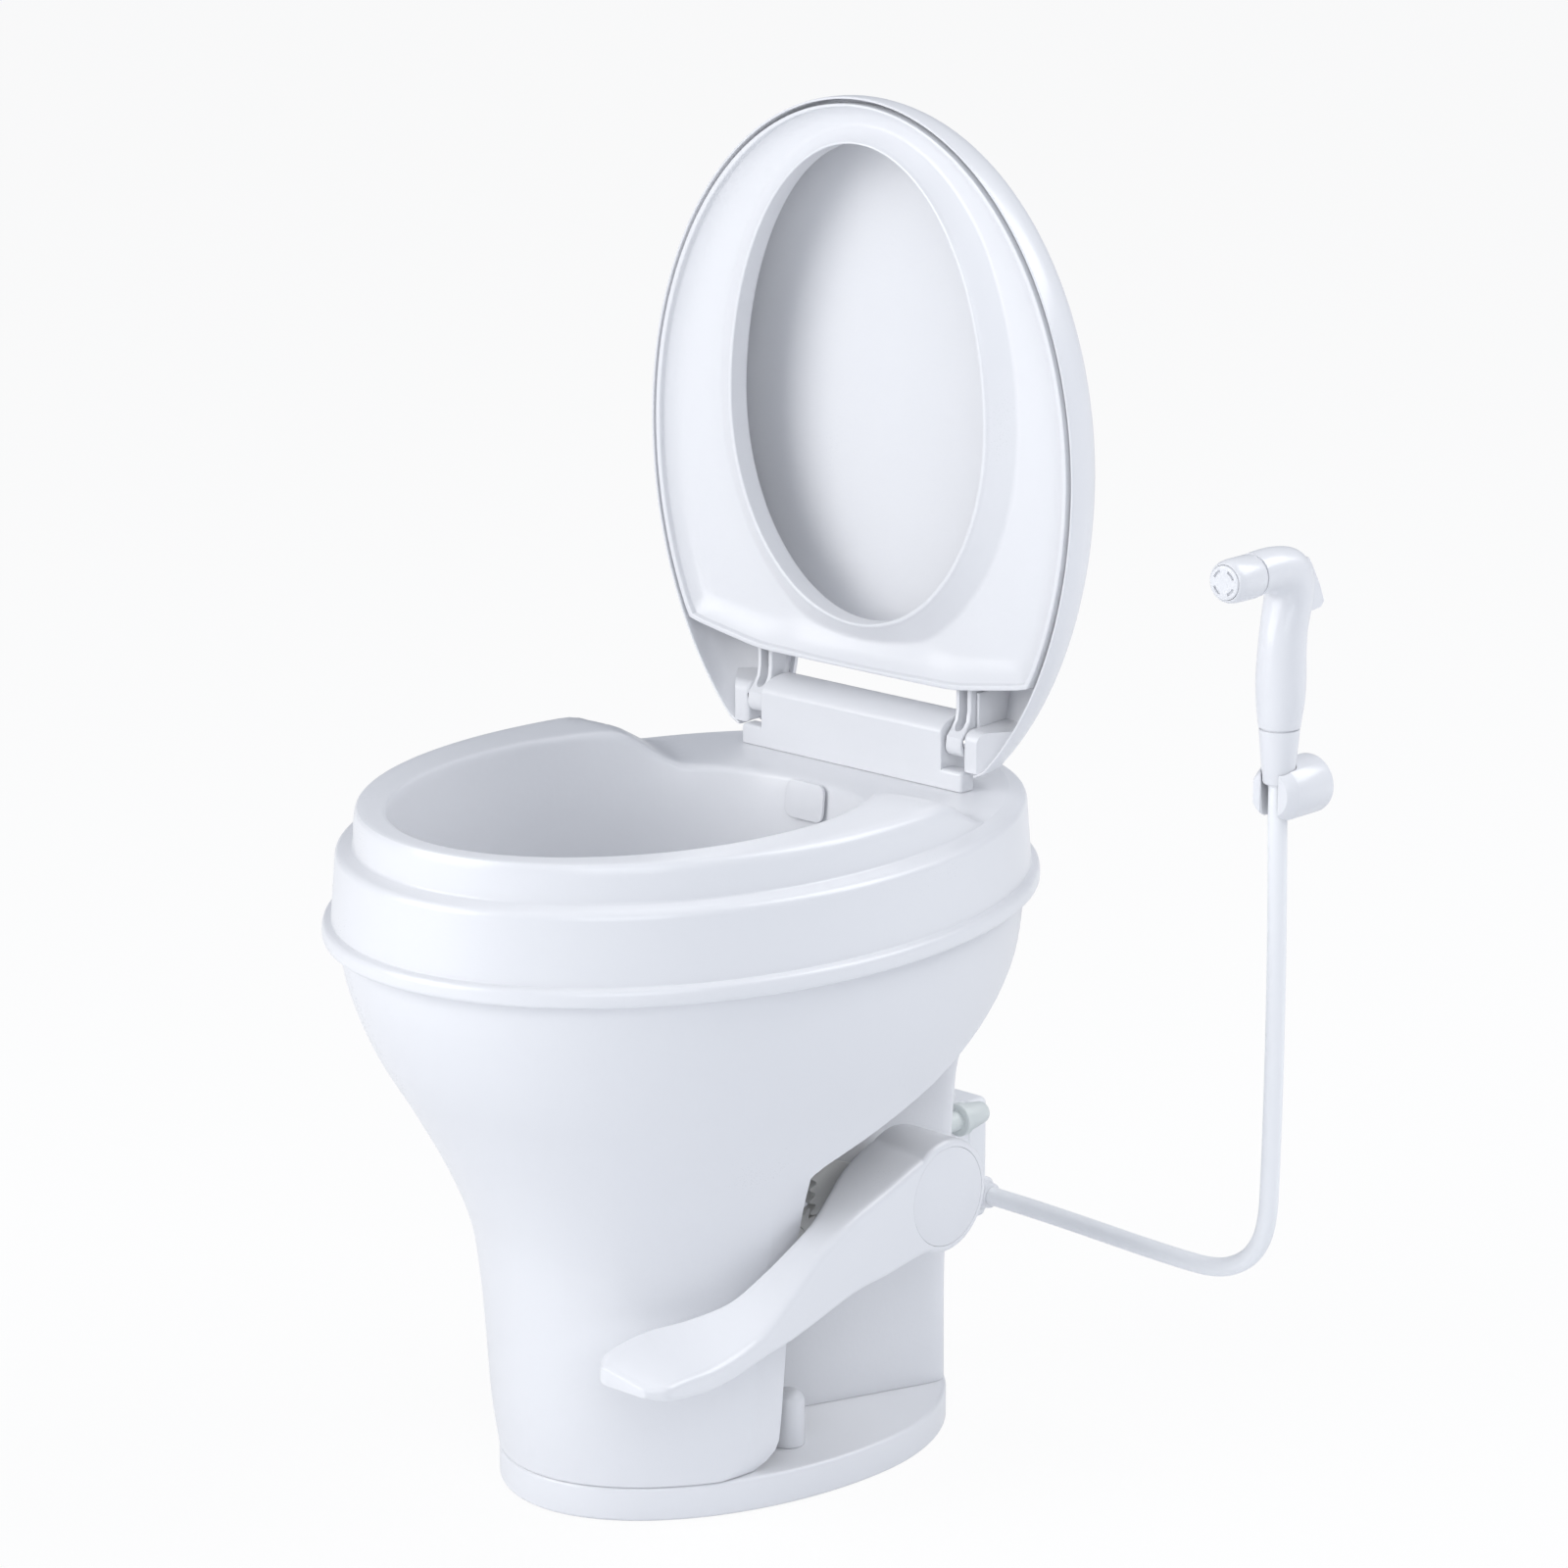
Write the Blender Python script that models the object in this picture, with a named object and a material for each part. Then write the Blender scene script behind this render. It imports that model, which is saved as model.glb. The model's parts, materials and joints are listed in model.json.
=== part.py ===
# Gravity-flush camper toilet with a foot pedal, a raised seat and lid, and a hand sprayer in a wall clip.
# The origin lies on the floor, on the centre line, 7 mm behind the seat hinge. The front is -Y, up is +Z,
# and the pedal and the sprayer are on the +X side. The seat and lid are modelled raised.
import bpy
import math
from mathutils import Matrix, Vector

# Clearances
GAP = 0.0003
OVERRUN = 0.004

# Foot of the toilet on the floor
FOOT_HALF_WIDTH = 0.1183
FOOT_FRONT = 0.1836
FOOT_REAR = 0.1443
FOOT_Y = -0.1158
FOOT_HEIGHT = 0.022
FOOT_EDGE = 0.0022
DRAIN_Y = -0.156
DRAIN_RADIUS = 0.0385
PIPE_WALL = 0.004
SEAL_WIDTH = 0.012
SEAL_DEPTH = 0.007

# Rim ring, deck and bowl
RING_HALF_WIDTH = 0.1845
RING_FRONT = 0.2359
RING_REAR = 0.2557
RING_Y = -0.172
LIP_Z = 0.3605
BEAD_OUT = 0.0055
BEAD_HEIGHT = 0.0115
DECK_Z = 0.418
LEDGE_DROP = 0.004
LEDGE_WIDTH = 0.0110
BAND_DRAFT = 0.0035
RIM_RISE = 0.0235
RIM_ROUND = 0.011
RING_WALL = 0.004
OPENING_HALF_WIDTH = 0.1318
OPENING_FRONT = 0.1757
OPENING_REAR = 0.1494
OPENING_Y = -0.2016
OPENING_ROUND = 0.005
LINER_TAPER = 0.0072
LINER_Z = 0.345
TAIL_END_Y = -0.052
TAIL_END_HALF = 0.126
TAIL_SLANT = 0.55
TAIL_LENGTH = 0.060
THROAT_Z = 0.2053

# Sides of the round outlines
RING_STEPS = 36
SEAT_STEPS = 36
BOWL_STEPS = 24

# Front shell
SHELL_WALL = 0.004
SHELL_EDGE_Y = -0.194
SHELL_NOTCH_Z = 0.2205

# Rear column
COLUMN_WALL = 0.004
COLUMN_INSET = 0.001
COLUMN_FLARE = 0.034
COLUMN_FRONT_Y = -0.108
COLUMN_FOOT_Y = -0.1228
COLUMN_THROAT_Y = -0.030
COLUMN_FRONT_HALF = 0.0407
COLUMN_CORNER = math.radians(48.7)

# Seat hinge
HINGE_Y = -0.007
HINGE_Z = 0.4485
PIN_RADIUS = 0.004
BLOCK_HALF = 0.077
BLOCK_FRONT_Y = -0.0158
BLOCK_REAR_Y = 0.0103
BLOCK_HEIGHT = 0.0465
BLOCK_ROUND = 0.0105
TAB_HALF = 0.0940
TAB_HEIGHT = 0.0125
EAR_IN = 0.0815
EAR_WIDTH = 0.013
EAR_RADIUS = 0.0085
KNUCKLE_IN = 0.102
KNUCKLE_WIDTH = 0.012
KNUCKLE_RADIUS = 0.0155
KNUCKLE_TAPER = 0.6
KNUCKLE_LIFT = 0.003
STUD_X = 0.045
STUD_RADIUS = 0.003
STUD_LENGTH = 0.030

# Seat, measured up from the hinge while raised
SEAT_HALF = 0.174
SEAT_MID = 0.1715
SEAT_TOP = 0.2196
SEAT_LOW = 0.232
SEAT_CORNER_HALF = 0.1457
SEAT_CORNER = 0.0434
SEAT_EDGE_HALF = 0.0825
SEAT_EDGE = 0.0325
SEAT_HOLE_HALF = 0.1055
SEAT_HOLE_MID = 0.1975
SEAT_HOLE_TOP = 0.168
SEAT_HOLE_LOW = 0.1345
SEAT_FACE = -0.0125
SEAT_THICK = 0.0165
SEAT_SKIN = 0.0035
SEAT_CHANNEL = 0.0085
SEAT_BEAD = 0.0040
SEAT_SLOPE = 0.017
FLANGE_WIDTH = 0.003
FLANGE_SLOPE = 0.0095

# Lid, measured up from the hinge while raised
LID_GAP = 0.0009
LID_WALL = 0.0026
LID_LOW = 0.2344
LID_CUT = -0.0205
LID_FACE = -0.0115
LID_DEPTH = 0.051
LID_SKIN = 0.0030
LID_WINDOW_HALF = 0.0885
LID_WINDOW = 0.026
LID_POCKET_HALF = 0.1000
LID_POCKET_DEPTH = 0.0165
BUMPER_RADIUS = 0.007
BUMPER_SHARE = 0.80
BUMPER_LOW = 0.12
BUMPER_HIGH = 0.25

# Pedal and flush drive
PEDAL_Y = -0.0837
PEDAL_Z = 0.1823
PEDAL_FACE = 0.145
HUB_RADIUS = 0.0365
HUB_WIDTH = 0.0465
HUB_ROUND = 0.0035
PEDAL_REACH = 0.2511
PAD_WIDTH = 0.052
CAP_RADIUS = 0.0315
CAP_THICK = 0.0025
SHAFT_RADIUS = 0.008
SHAFT_INNER = 0.008
BOSS_RADIUS = 0.030
BOSS_END = 0.0745
BUSH_WALL = 0.0035
GEAR_MODULE = 0.0024
PINION_TEETH = 14
SECTOR_TEETH = 49
GEAR_X = 0.078
GEAR_WIDTH = 0.007
BACKLASH = 0.0003
SECTOR_HUB = 0.014
SPACER_RADIUS = 0.016
BALL_RADIUS = 0.0365
BALL_WALL = 0.003
TRUNNION_RADIUS = 0.006
TRUNNION_BOSS = 0.010
TRUNNION_BOSS_LONG = 0.028
TRUNNION_BOSS_SHORT = 0.008
SPRING_RADIUS = 0.0125
SPRING_WIRE = 0.0016
SPRING_TURNS = 3
SPRING_PITCH = 0.0028
BRACKET_THICK = 0.008
BRACKET_HALF = 0.018
CAM_X = 0.032
CAM_WIDTH = 0.008
CAM_LEVER = 0.014
CAM_HALF = 0.004
ROD_RADIUS = 0.003

# Water valve behind the column
PAD_FACE_Y = 0.036
PAD_LOW = 0.098
PAD_HIGH = 0.200
PAD_LEFT = -0.018
PAD_RIGHT = 0.048
VALVE_LEFT = -0.012
VALVE_RIGHT = 0.040
VALVE_DEPTH = 0.040
VALVE_LOW = 0.104
VALVE_HIGH = 0.186
INLET_X = 0.062
INLET_Z = 0.188
INLET_RADIUS = 0.0108
INLET_STEM = 0.0065
INLET_REACH = 0.045
TUBE_RADIUS = 0.0075
TUBE_X = 0.0
TUBE_Z = 0.145
NOZZLE_Z = 0.404
NOZZLE_HALF = 0.016
NOZZLE_HIGH = 0.024
NOZZLE_OUT = 0.0035
BREAKER_RADIUS = 0.015
BREAKER_LOW = 0.318
BREAKER_HIGH = 0.362
BREAKER_Y = -0.014

# Floor bolts
BOLT_X = 0.077
BOLT_RADIUS = 0.004
BOLT_TOP = 0.042
NUT_RADIUS = 0.0065
NUT_HEIGHT = 0.007
CAP_HEIGHT = 0.036
BOLT_CAP_RADIUS = 0.0105
BOLT_CAP_WALL = 0.002

# Hand sprayer, its clip and its hose
SPRAY_X = 0.282
SPRAY_Y = 0.062
HOSE_RADIUS = 0.006
CONE_LOW = 0.4435
CONE_HIGH = 0.4790
CONE_LOW_RADIUS = 0.0098
CONE_HIGH_RADIUS = 0.0120
GRIP_RADIUS = 0.0156
HEAD_Z = CONE_HIGH + 0.0990
HEAD_RADIUS = 0.0150
COLLAR_Y = 0.0315
COLLAR_LENGTH = 0.0260
COLLAR_RADIUS = 0.0136
FACE_RADIUS = 0.0106
FACE_OUT = 0.0025
CLIP_Z = CONE_LOW - 0.0055
CLIP_RADIUS = 0.0185
CLIP_FRONT = 0.009
CLIP_BACK = 0.033
CLIP_SLOT = 0.0140
CLIP_NOSE = 0.0145
CLIP_SCREW = 0.0035
TRIGGER_TOP = CONE_HIGH + 0.1040
TRIGGER_LOW = CONE_HIGH + 0.0690
TRIGGER_HALF = 0.007
TRIGGER_THICK = 0.005
TRIGGER_PIN = 0.0012
TRIGGER_DEPTH = 0.0068

# Finishes: colour, roughness, metallic
WHITE = ((0.86, 0.865, 0.89), 0.28, 0.0)
SOFT_WHITE = ((0.83, 0.84, 0.86), 0.45, 0.0)
GREY_GREEN = ((0.66, 0.70, 0.69), 0.5, 0.0)
RUBBER = ((0.06, 0.06, 0.065), 0.8, 0.0)
STEEL = ((0.62, 0.62, 0.64), 0.3, 1.0)
NYLON = ((0.80, 0.80, 0.78), 0.5, 0.0)


def make_material(name, finish):
    """A Principled material with the finish's colour, roughness and metallic value."""
    colour, roughness, metallic = finish
    material = bpy.data.materials.new(name)
    material.use_nodes = True
    shader = material.node_tree.nodes["Principled BSDF"]
    shader.inputs["Base Color"].default_value = (*colour, 1.0)
    shader.inputs["Roughness"].default_value = roughness
    shader.inputs["Metallic"].default_value = metallic
    return material


def add_mesh(name, points, faces, finish):
    """A named object from points and faces, shaded smooth with its sharp edges kept."""
    mesh = bpy.data.meshes.new(name)
    mesh.from_pydata([tuple(point) for point in points], [], faces)
    mesh.validate()
    mesh.update()
    mesh.shade_smooth()
    mesh.set_sharp_from_angle(angle=math.radians(35))
    piece = bpy.data.objects.new(name, mesh)
    bpy.context.collection.objects.link(piece)
    if finish is not None:
        mesh.materials.append(make_material(name, finish))
    return piece


def signed_volume(points, faces):
    """Six times the volume inside the faces, negative when they point inwards."""
    total = 0.0
    for face in faces:
        first = Vector(points[face[0]])
        for second, third in zip(face[1:], face[2:]):
            total += first.dot(Vector(points[second]).cross(Vector(points[third])))
    return total


def loft(name, rings, finish, looped=False):
    """Skin rings of equally many points. A looped loft joins its last ring to its first."""
    count = len(rings[0])
    points = [point for ring in rings for point in ring]
    faces = []
    last = len(rings) if looped else len(rings) - 1
    for row in range(last):
        upper = (row + 1) % len(rings)
        for column in range(count):
            beside = (column + 1) % count
            faces.append((row * count + column, row * count + beside,
                          upper * count + beside, upper * count + column))
    if not looped:
        faces.append(tuple(reversed(range(count))))
        faces.append(tuple((len(rings) - 1) * count + column for column in range(count)))
    if signed_volume(points, faces) < 0:
        faces = [tuple(reversed(face)) for face in faces]
    return add_mesh(name, points, faces, finish)


def as_cutter(piece):
    """Hide a helper that only shapes another object."""
    piece.hide_render = True
    piece.display_type = 'WIRE'
    return piece


def shape_with(piece, operation, tool):
    """Cut a piece with a tool, or join the tool to it."""
    step = piece.modifiers.new(tool.name, 'BOOLEAN')
    step.operation = operation
    step.solver = 'EXACT'
    step.object = as_cutter(tool)


def cut(piece, tool):
    shape_with(piece, 'DIFFERENCE', tool)


def join(piece, tool):
    shape_with(piece, 'UNION', tool)


def circle(centre, across, up, radius, count, phase=0.0):
    """Points round a circle in the plane of two unit vectors."""
    ring = []
    for step in range(count):
        angle = phase + math.tau * step / count
        ring.append(centre + across * (radius * math.cos(angle)) + up * (radius * math.sin(angle)))
    return ring


def frame_of(axis):
    """Two unit vectors square to an axis."""
    axis = axis.normalized()
    helper = Vector((0, 0, 1)) if abs(axis.z) < 0.9 else Vector((1, 0, 0))
    across = axis.cross(helper).normalized()
    return across, axis.cross(across)


def turned(name, start, end, stations, finish, count=24):
    """A solid of revolution on the line from start to end. Stations are (distance, radius)."""
    axis = (end - start).normalized()
    across, up = frame_of(axis)
    rings = [circle(start + axis * distance, across, up, radius, count) for distance, radius in stations]
    return loft(name, rings, finish)


def rod(name, start, end, radius, finish, count=24, edge=0.0):
    """A round bar, with its end edges broken when an edge is given."""
    length = (end - start).length
    stations = [(0, radius), (length, radius)]
    if edge > 0:
        stations = [(0, radius - edge), (edge, radius), (length - edge, radius), (length, radius - edge)]
    return turned(name, start, end, stations, finish, count)


def pipe(name, start, end, outer, inner, finish, count=24):
    """A straight pipe, open at both ends."""
    axis = (end - start).normalized()
    across, up = frame_of(axis)
    rings = [circle(start, across, up, outer, count), circle(end, across, up, outer, count),
             circle(end, across, up, inner, count), circle(start, across, up, inner, count)]
    return loft(name, rings, finish, looped=True)


def nut(name, start, end, outer, bore, finish):
    """A hexagonal nut with a round bore, on the line from start to end."""
    axis = (end - start).normalized()
    across, up = frame_of(axis)
    rings = []
    for place, radius, corners in ((start, outer, 6), (end, outer, 6), (end, bore, 0), (start, bore, 0)):
        ring = circle(place, across, up, radius, 12)
        if corners:
            for middle in range(1, 12, 2):
                ring[middle] = (ring[middle - 1] + ring[(middle + 1) % 12]) / 2
        rings.append(ring)
    return loft(name, rings, finish, looped=True)


def block(name, low, high, finish):
    """A plain box between two corners."""
    corners = [(low[0], low[1]), (high[0], low[1]), (high[0], high[1]), (low[0], high[1])]
    rings = [[Vector((x, y, z)) for x, y in corners] for z in (low[2], high[2])]
    return loft(name, rings, finish)


def soften(piece, width, segments=2):
    """Round the sharp edges of a plain piece."""
    step = piece.modifiers.new("edges", 'BEVEL')
    step.width = width
    step.segments = segments
    step.limit_method = 'ANGLE'
    step.angle_limit = math.radians(40)


def prism_x(name, outline, left, right, finish):
    """An outline of (y, z) points drawn out along X."""
    rings = [[Vector((x, y, z)) for y, z in outline] for x in (left, right)]
    return loft(name, rings, finish)


def swept_tube(name, points, radius, finish, resolution):
    """A round tube along a list of points, with closed ends."""
    curve = bpy.data.curves.new(name, 'CURVE')
    curve.dimensions = '3D'
    curve.bevel_depth = radius
    curve.bevel_resolution = resolution
    curve.use_fill_caps = True
    spline = curve.splines.new('POLY')
    spline.points.add(len(points) - 1)
    for target, point in zip(spline.points, points):
        target.co = (*point, 1.0)
    curve.materials.append(make_material(name, finish))
    piece = bpy.data.objects.new(name, curve)
    bpy.context.collection.objects.link(piece)
    return piece


def smooth_path(points, count):
    """Evenly spaced points on a smooth curve through the given ones."""
    dense = []
    ends = [points[0] * 2 - points[1]] + list(points) + [points[-1] * 2 - points[-2]]
    for before, start, end, after in zip(ends, ends[1:], ends[2:], ends[3:]):
        for step in range(24):
            t = step / 24
            dense.append(0.5 * (start * 2 + (end - before) * t
                                + (before * 2 - start * 5 + end * 4 - after) * t * t
                                + (start * 3 - before - end * 3 + after) * t ** 3))
    dense.append(points[-1].copy())
    reach = [0.0]
    for first, second in zip(dense, dense[1:]):
        reach.append(reach[-1] + (second - first).length)
    even = []
    place = 0
    for step in range(count):
        wanted = reach[-1] * step / (count - 1)
        while place < len(reach) - 2 and reach[place + 1] < wanted:
            place += 1
        part = (wanted - reach[place]) / max(reach[place + 1] - reach[place], 1e-12)
        even.append(dense[place].lerp(dense[place + 1], min(part, 1.0)))
    return even


def egg(shape, inset, z, count):
    """An egg outline: half width, front reach, rear reach and middle, drawn in by an inset."""
    half, front, rear, middle = shape
    ring = []
    for step in range(count):
        angle = math.tau * (step + 0.5) / count
        reach = front if math.sin(angle) < 0 else rear
        ring.append(Vector(((half - inset) * math.cos(angle), middle + (reach - inset) * math.sin(angle), z)))
    return ring


def between(first, second, share):
    """A value, or a tuple of values, part of the way from one to another."""
    if isinstance(first, tuple):
        return tuple(between(a, b, share) for a, b in zip(first, second))
    return first + (second - first) * share


def read_table(table, place):
    """Read a table of (place, value) rows with an eased curve between the rows."""
    rows = list(table)
    if place <= rows[0][0]:
        return rows[0][1]
    for (low, first), (high, second) in zip(rows, rows[1:]):
        if place <= high:
            part = (place - low) / (high - low)
            return between(first, second, part)
    return rows[-1][1]


FOOT = (FOOT_HALF_WIDTH, FOOT_FRONT, FOOT_REAR, FOOT_Y)
RING = (RING_HALF_WIDTH, RING_FRONT, RING_REAR, RING_Y)
OPENING = (OPENING_HALF_WIDTH, OPENING_FRONT, OPENING_REAR, OPENING_Y)
SHELL_LOW_Z = FOOT_HEIGHT + GAP
SHELL_HIGH_Z = LIP_Z - GAP
GEAR_CENTRES = GEAR_MODULE * (PINION_TEETH + SECTOR_TEETH) / 2
BALL_Z = PEDAL_Z - math.sqrt(GEAR_CENTRES ** 2 - (PEDAL_Y - DRAIN_Y) ** 2)
GEAR_LINE = math.atan2(BALL_Z - PEDAL_Z, DRAIN_Y - PEDAL_Y)
PIPE_OUTER = DRAIN_RADIUS + PIPE_WALL
TRIGGER_PIVOT = Vector((SPRAY_X, SPRAY_Y + TRIGGER_DEPTH + TRIGGER_THICK * 0.7,
                        TRIGGER_TOP - TRIGGER_THICK * 0.9))


def build_foot():
    """The moulded foot plate, with the drain, the seal groove and the two bolt holes cut in it."""
    rings = [egg(FOOT, FOOT_EDGE, 0.0, RING_STEPS), egg(FOOT, 0.0, FOOT_EDGE, RING_STEPS),
             egg(FOOT, 0.0, FOOT_HEIGHT - FOOT_EDGE, RING_STEPS), egg(FOOT, FOOT_EDGE, FOOT_HEIGHT, RING_STEPS)]
    foot = loft("base_plate", rings, WHITE)
    low = Vector((0, DRAIN_Y, -OVERRUN))
    high = Vector((0, DRAIN_Y, FOOT_HEIGHT + OVERRUN))
    cut(foot, rod("drain_hole", low, high, PIPE_OUTER + GAP, None, 24))
    groove_top = Vector((0, DRAIN_Y, SEAL_DEPTH + GAP))
    cut(foot, rod("seal_groove", low, groove_top, PIPE_OUTER + SEAL_WIDTH + GAP, None, 24))
    for side in (-1, 1):
        low = Vector((side * BOLT_X, DRAIN_Y, -OVERRUN))
        high = Vector((side * BOLT_X, DRAIN_Y, FOOT_HEIGHT + OVERRUN))
        cut(foot, rod("bolt_hole_%+d" % side, low, high, BOLT_RADIUS + GAP, None, 16))


def build_floor_seal():
    """The rubber ring that seals the outlet to the floor flange."""
    pipe("floor_seal", Vector((0, DRAIN_Y, 0)), Vector((0, DRAIN_Y, SEAL_DEPTH)),
         PIPE_OUTER + SEAL_WIDTH, PIPE_OUTER + GAP, RUBBER, 24)


def build_floor_bolts():
    """On each side a floor bolt, its nut and a tall round cap over them."""
    for side, word in ((-1, "right"), (1, "left")):
        foot = Vector((side * BOLT_X, DRAIN_Y, 0))
        up = Vector((0, 0, 1))
        rod("floor_bolt_" + word, foot + up * GAP, foot + up * BOLT_TOP, BOLT_RADIUS, STEEL, 12)
        seat = foot + up * (FOOT_HEIGHT + GAP)
        nut("floor_nut_" + word, seat, seat + up * NUT_HEIGHT, NUT_RADIUS, BOLT_RADIUS + GAP, STEEL)
        high = CAP_HEIGHT
        outer = BOLT_CAP_RADIUS
        inner = outer - BOLT_CAP_WALL
        dome_shares = ((0.0, 1.0), (0.70, 0.97), (0.86, 0.80), (0.96, 0.48), (1.0, 0.12))
        rings = []
        across, ahead = Vector((1, 0, 0)), Vector((0, 1, 0))
        for level, width in dome_shares:
            rings.append(circle(seat + up * (high * level), across, ahead, outer * width, 14))
        for level, width in reversed(dome_shares):
            lower = (high - BOLT_CAP_WALL) * level
            rings.append(circle(seat + up * lower, across, ahead, inner * width, 14))
        build_cap(word, rings)


def build_cap(word, rings):
    """A bolt cap as one wall from its outer rings to its inner ones, closed at the crown."""
    count = len(rings[0])
    outer_top = len(rings) // 2 - 1
    points = [point for ring in rings for point in ring]
    faces = []
    for row in range(len(rings)):
        if row == outer_top:
            continue
        upper = (row + 1) % len(rings)
        for column in range(count):
            beside = (column + 1) % count
            faces.append((row * count + column, row * count + beside,
                          upper * count + beside, upper * count + column))
    faces.append(tuple(outer_top * count + column for column in range(count)))
    faces.append(tuple(reversed([(outer_top + 1) * count + column for column in range(count)])))
    add_mesh("bolt_cap_" + word, points, faces, WHITE)


def rim_share(point):
    """How much of the raised rim is left at a point: all of it in front, none on the rear deck."""
    end = TAIL_END_Y - (TAIL_END_HALF - min(abs(point.x), TAIL_END_HALF)) * TAIL_SLANT
    part = max(0.0, min(1.0, (end - point.y) / TAIL_LENGTH))
    return part * part * (3 - 2 * part)


def ring_station(shape, inset, level, lift, drop=0.0):
    """One ring of the rim: an inset outline at a level, lifted where the raised rim stands."""
    ring = egg(shape, inset, level - drop, RING_STEPS)
    for point in ring:
        point.z += rim_share(point) * lift
    return ring


def build_rim_ring():
    """Lip, band, ledge, raised rim and rear deck as one hollow moulding round the bowl's opening."""
    step_in = BAND_DRAFT + LEDGE_WIDTH
    band_top = DECK_Z - LEDGE_DROP
    bead = BEAD_OUT
    high = BEAD_HEIGHT
    wall = RING_WALL
    turn = RIM_ROUND
    lift = RIM_RISE
    edge = OPENING_ROUND
    rim_outer = tuple(size - step_in - turn for size in RING[:3]) + (RING_Y,)
    rim_inner = tuple(size + edge for size in OPENING[:3]) + (OPENING_Y,)
    rings = [
        egg(RING, wall, LIP_Z, RING_STEPS),
        egg(RING, -bead / 2, LIP_Z, RING_STEPS),
        egg(RING, -bead, LIP_Z + high / 4, RING_STEPS),
        egg(RING, -bead, LIP_Z + high * 2 / 3, RING_STEPS),
        egg(RING, 0.0, LIP_Z + high, RING_STEPS),
        egg(RING, BAND_DRAFT, band_top - wall, RING_STEPS),
        egg(RING, BAND_DRAFT + wall / 3, band_top, RING_STEPS),
        egg(RING, BAND_DRAFT + wall, DECK_Z - LEDGE_DROP / 4, RING_STEPS),
        ring_station(RING, step_in, DECK_Z, 0.0),
        ring_station(RING, step_in + turn / 10, DECK_Z, lift - turn),
        ring_station(RING, step_in + turn / 3, DECK_Z, lift - turn / 3),
        ring_station(rim_outer, 0.0, DECK_Z, lift),
        ring_station(between(rim_outer, rim_inner, 0.4), 0.0, DECK_Z, lift),
        ring_station(rim_inner, 0.0, DECK_Z, lift),
        ring_station(OPENING, -edge / 4, DECK_Z, lift, edge / 4),
        ring_station(OPENING, 0.0, DECK_Z, lift, edge),
        ring_station(OPENING, LINER_TAPER, LINER_Z, 0.0),
        ring_station(OPENING, LINER_TAPER - wall, LINER_Z, 0.0),
        ring_station(OPENING, -wall, DECK_Z, lift, wall + edge),
        ring_station(OPENING, -wall - edge / 2, DECK_Z, lift, wall),
        ring_station(between(rim_outer, rim_inner, 0.4), 0.0, DECK_Z, lift, wall),
        ring_station(RING, step_in + turn + wall / 2, DECK_Z, lift, wall),
        ring_station(RING, step_in + wall / 2, DECK_Z, 0.0, wall),
        egg(RING, BAND_DRAFT + wall + wall / 2, DECK_Z - LEDGE_DROP - wall, RING_STEPS),
        egg(RING, wall, LIP_Z + high, RING_STEPS),
    ]
    ring = loft("rim_ring", rings, WHITE, looped=True)
    rear = OPENING_Y + OPENING_REAR
    start = Vector((TUBE_X, rear - wall * 4, NOZZLE_Z))
    end = Vector((TUBE_X, rear + wall * 4, NOZZLE_Z))
    cut(ring, rod("nozzle_hole", start, end, TUBE_RADIUS + GAP, None, 16))
    for side in (-1, 1):
        low = Vector((side * STUD_X, 0, DECK_Z - wall * 3))
        high_point = Vector((side * STUD_X, 0, DECK_Z + wall))
        cut(ring, rod("stud_hole_%+d" % side, low, high_point, STUD_RADIUS + GAP, None, 12))


def build_bowl():
    """The bowl's funnel, from the rim ring's liner down to the round throat."""
    wall = RING_WALL
    top = tuple(size - LINER_TAPER for size in OPENING[:3]) + (OPENING_Y,)
    throat = (DRAIN_RADIUS, DRAIN_RADIUS, DRAIN_RADIUS, DRAIN_Y)
    funnel_shares = ((1.0, 1.0), (0.86, 0.95), (0.68, 0.80), (0.48, 0.55), (0.28, 0.28), (0.12, 0.08), (0.0, 0.0))
    depth = LINER_Z - GAP - THROAT_Z
    inner = [egg(between(throat, top, width), 0.0, THROAT_Z + depth * level, BOWL_STEPS)
             for level, width in funnel_shares]
    outer = [egg(between(throat, top, width), -wall, THROAT_Z + depth * level, BOWL_STEPS)
             for level, width in reversed(funnel_shares)]
    loft("bowl", inner + outer, WHITE, looped=True)


SHELL_SHARES = ((0.0, 0.0), (0.09, 0.045), (0.21, 0.075), (0.33, 0.11), (0.44, 0.17), (0.555, 0.325),
                (0.675, 0.545), (0.795, 0.785), (0.91, 0.94), (1.0, 1.0))


def shell_outline(z, inset, count):
    """The shell's outline at a height, between the foot's outline and the lip's."""
    low = tuple(size + GAP for size in FOOT[:3]) + (FOOT_Y,)
    high = tuple(size - RING_WALL for size in RING[:3]) + (RING_Y,)
    share = read_table(SHELL_SHARES, (z - SHELL_LOW_Z) / (SHELL_HIGH_Z - SHELL_LOW_Z))
    return egg(between(low, high, share), inset, z, count)


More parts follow.
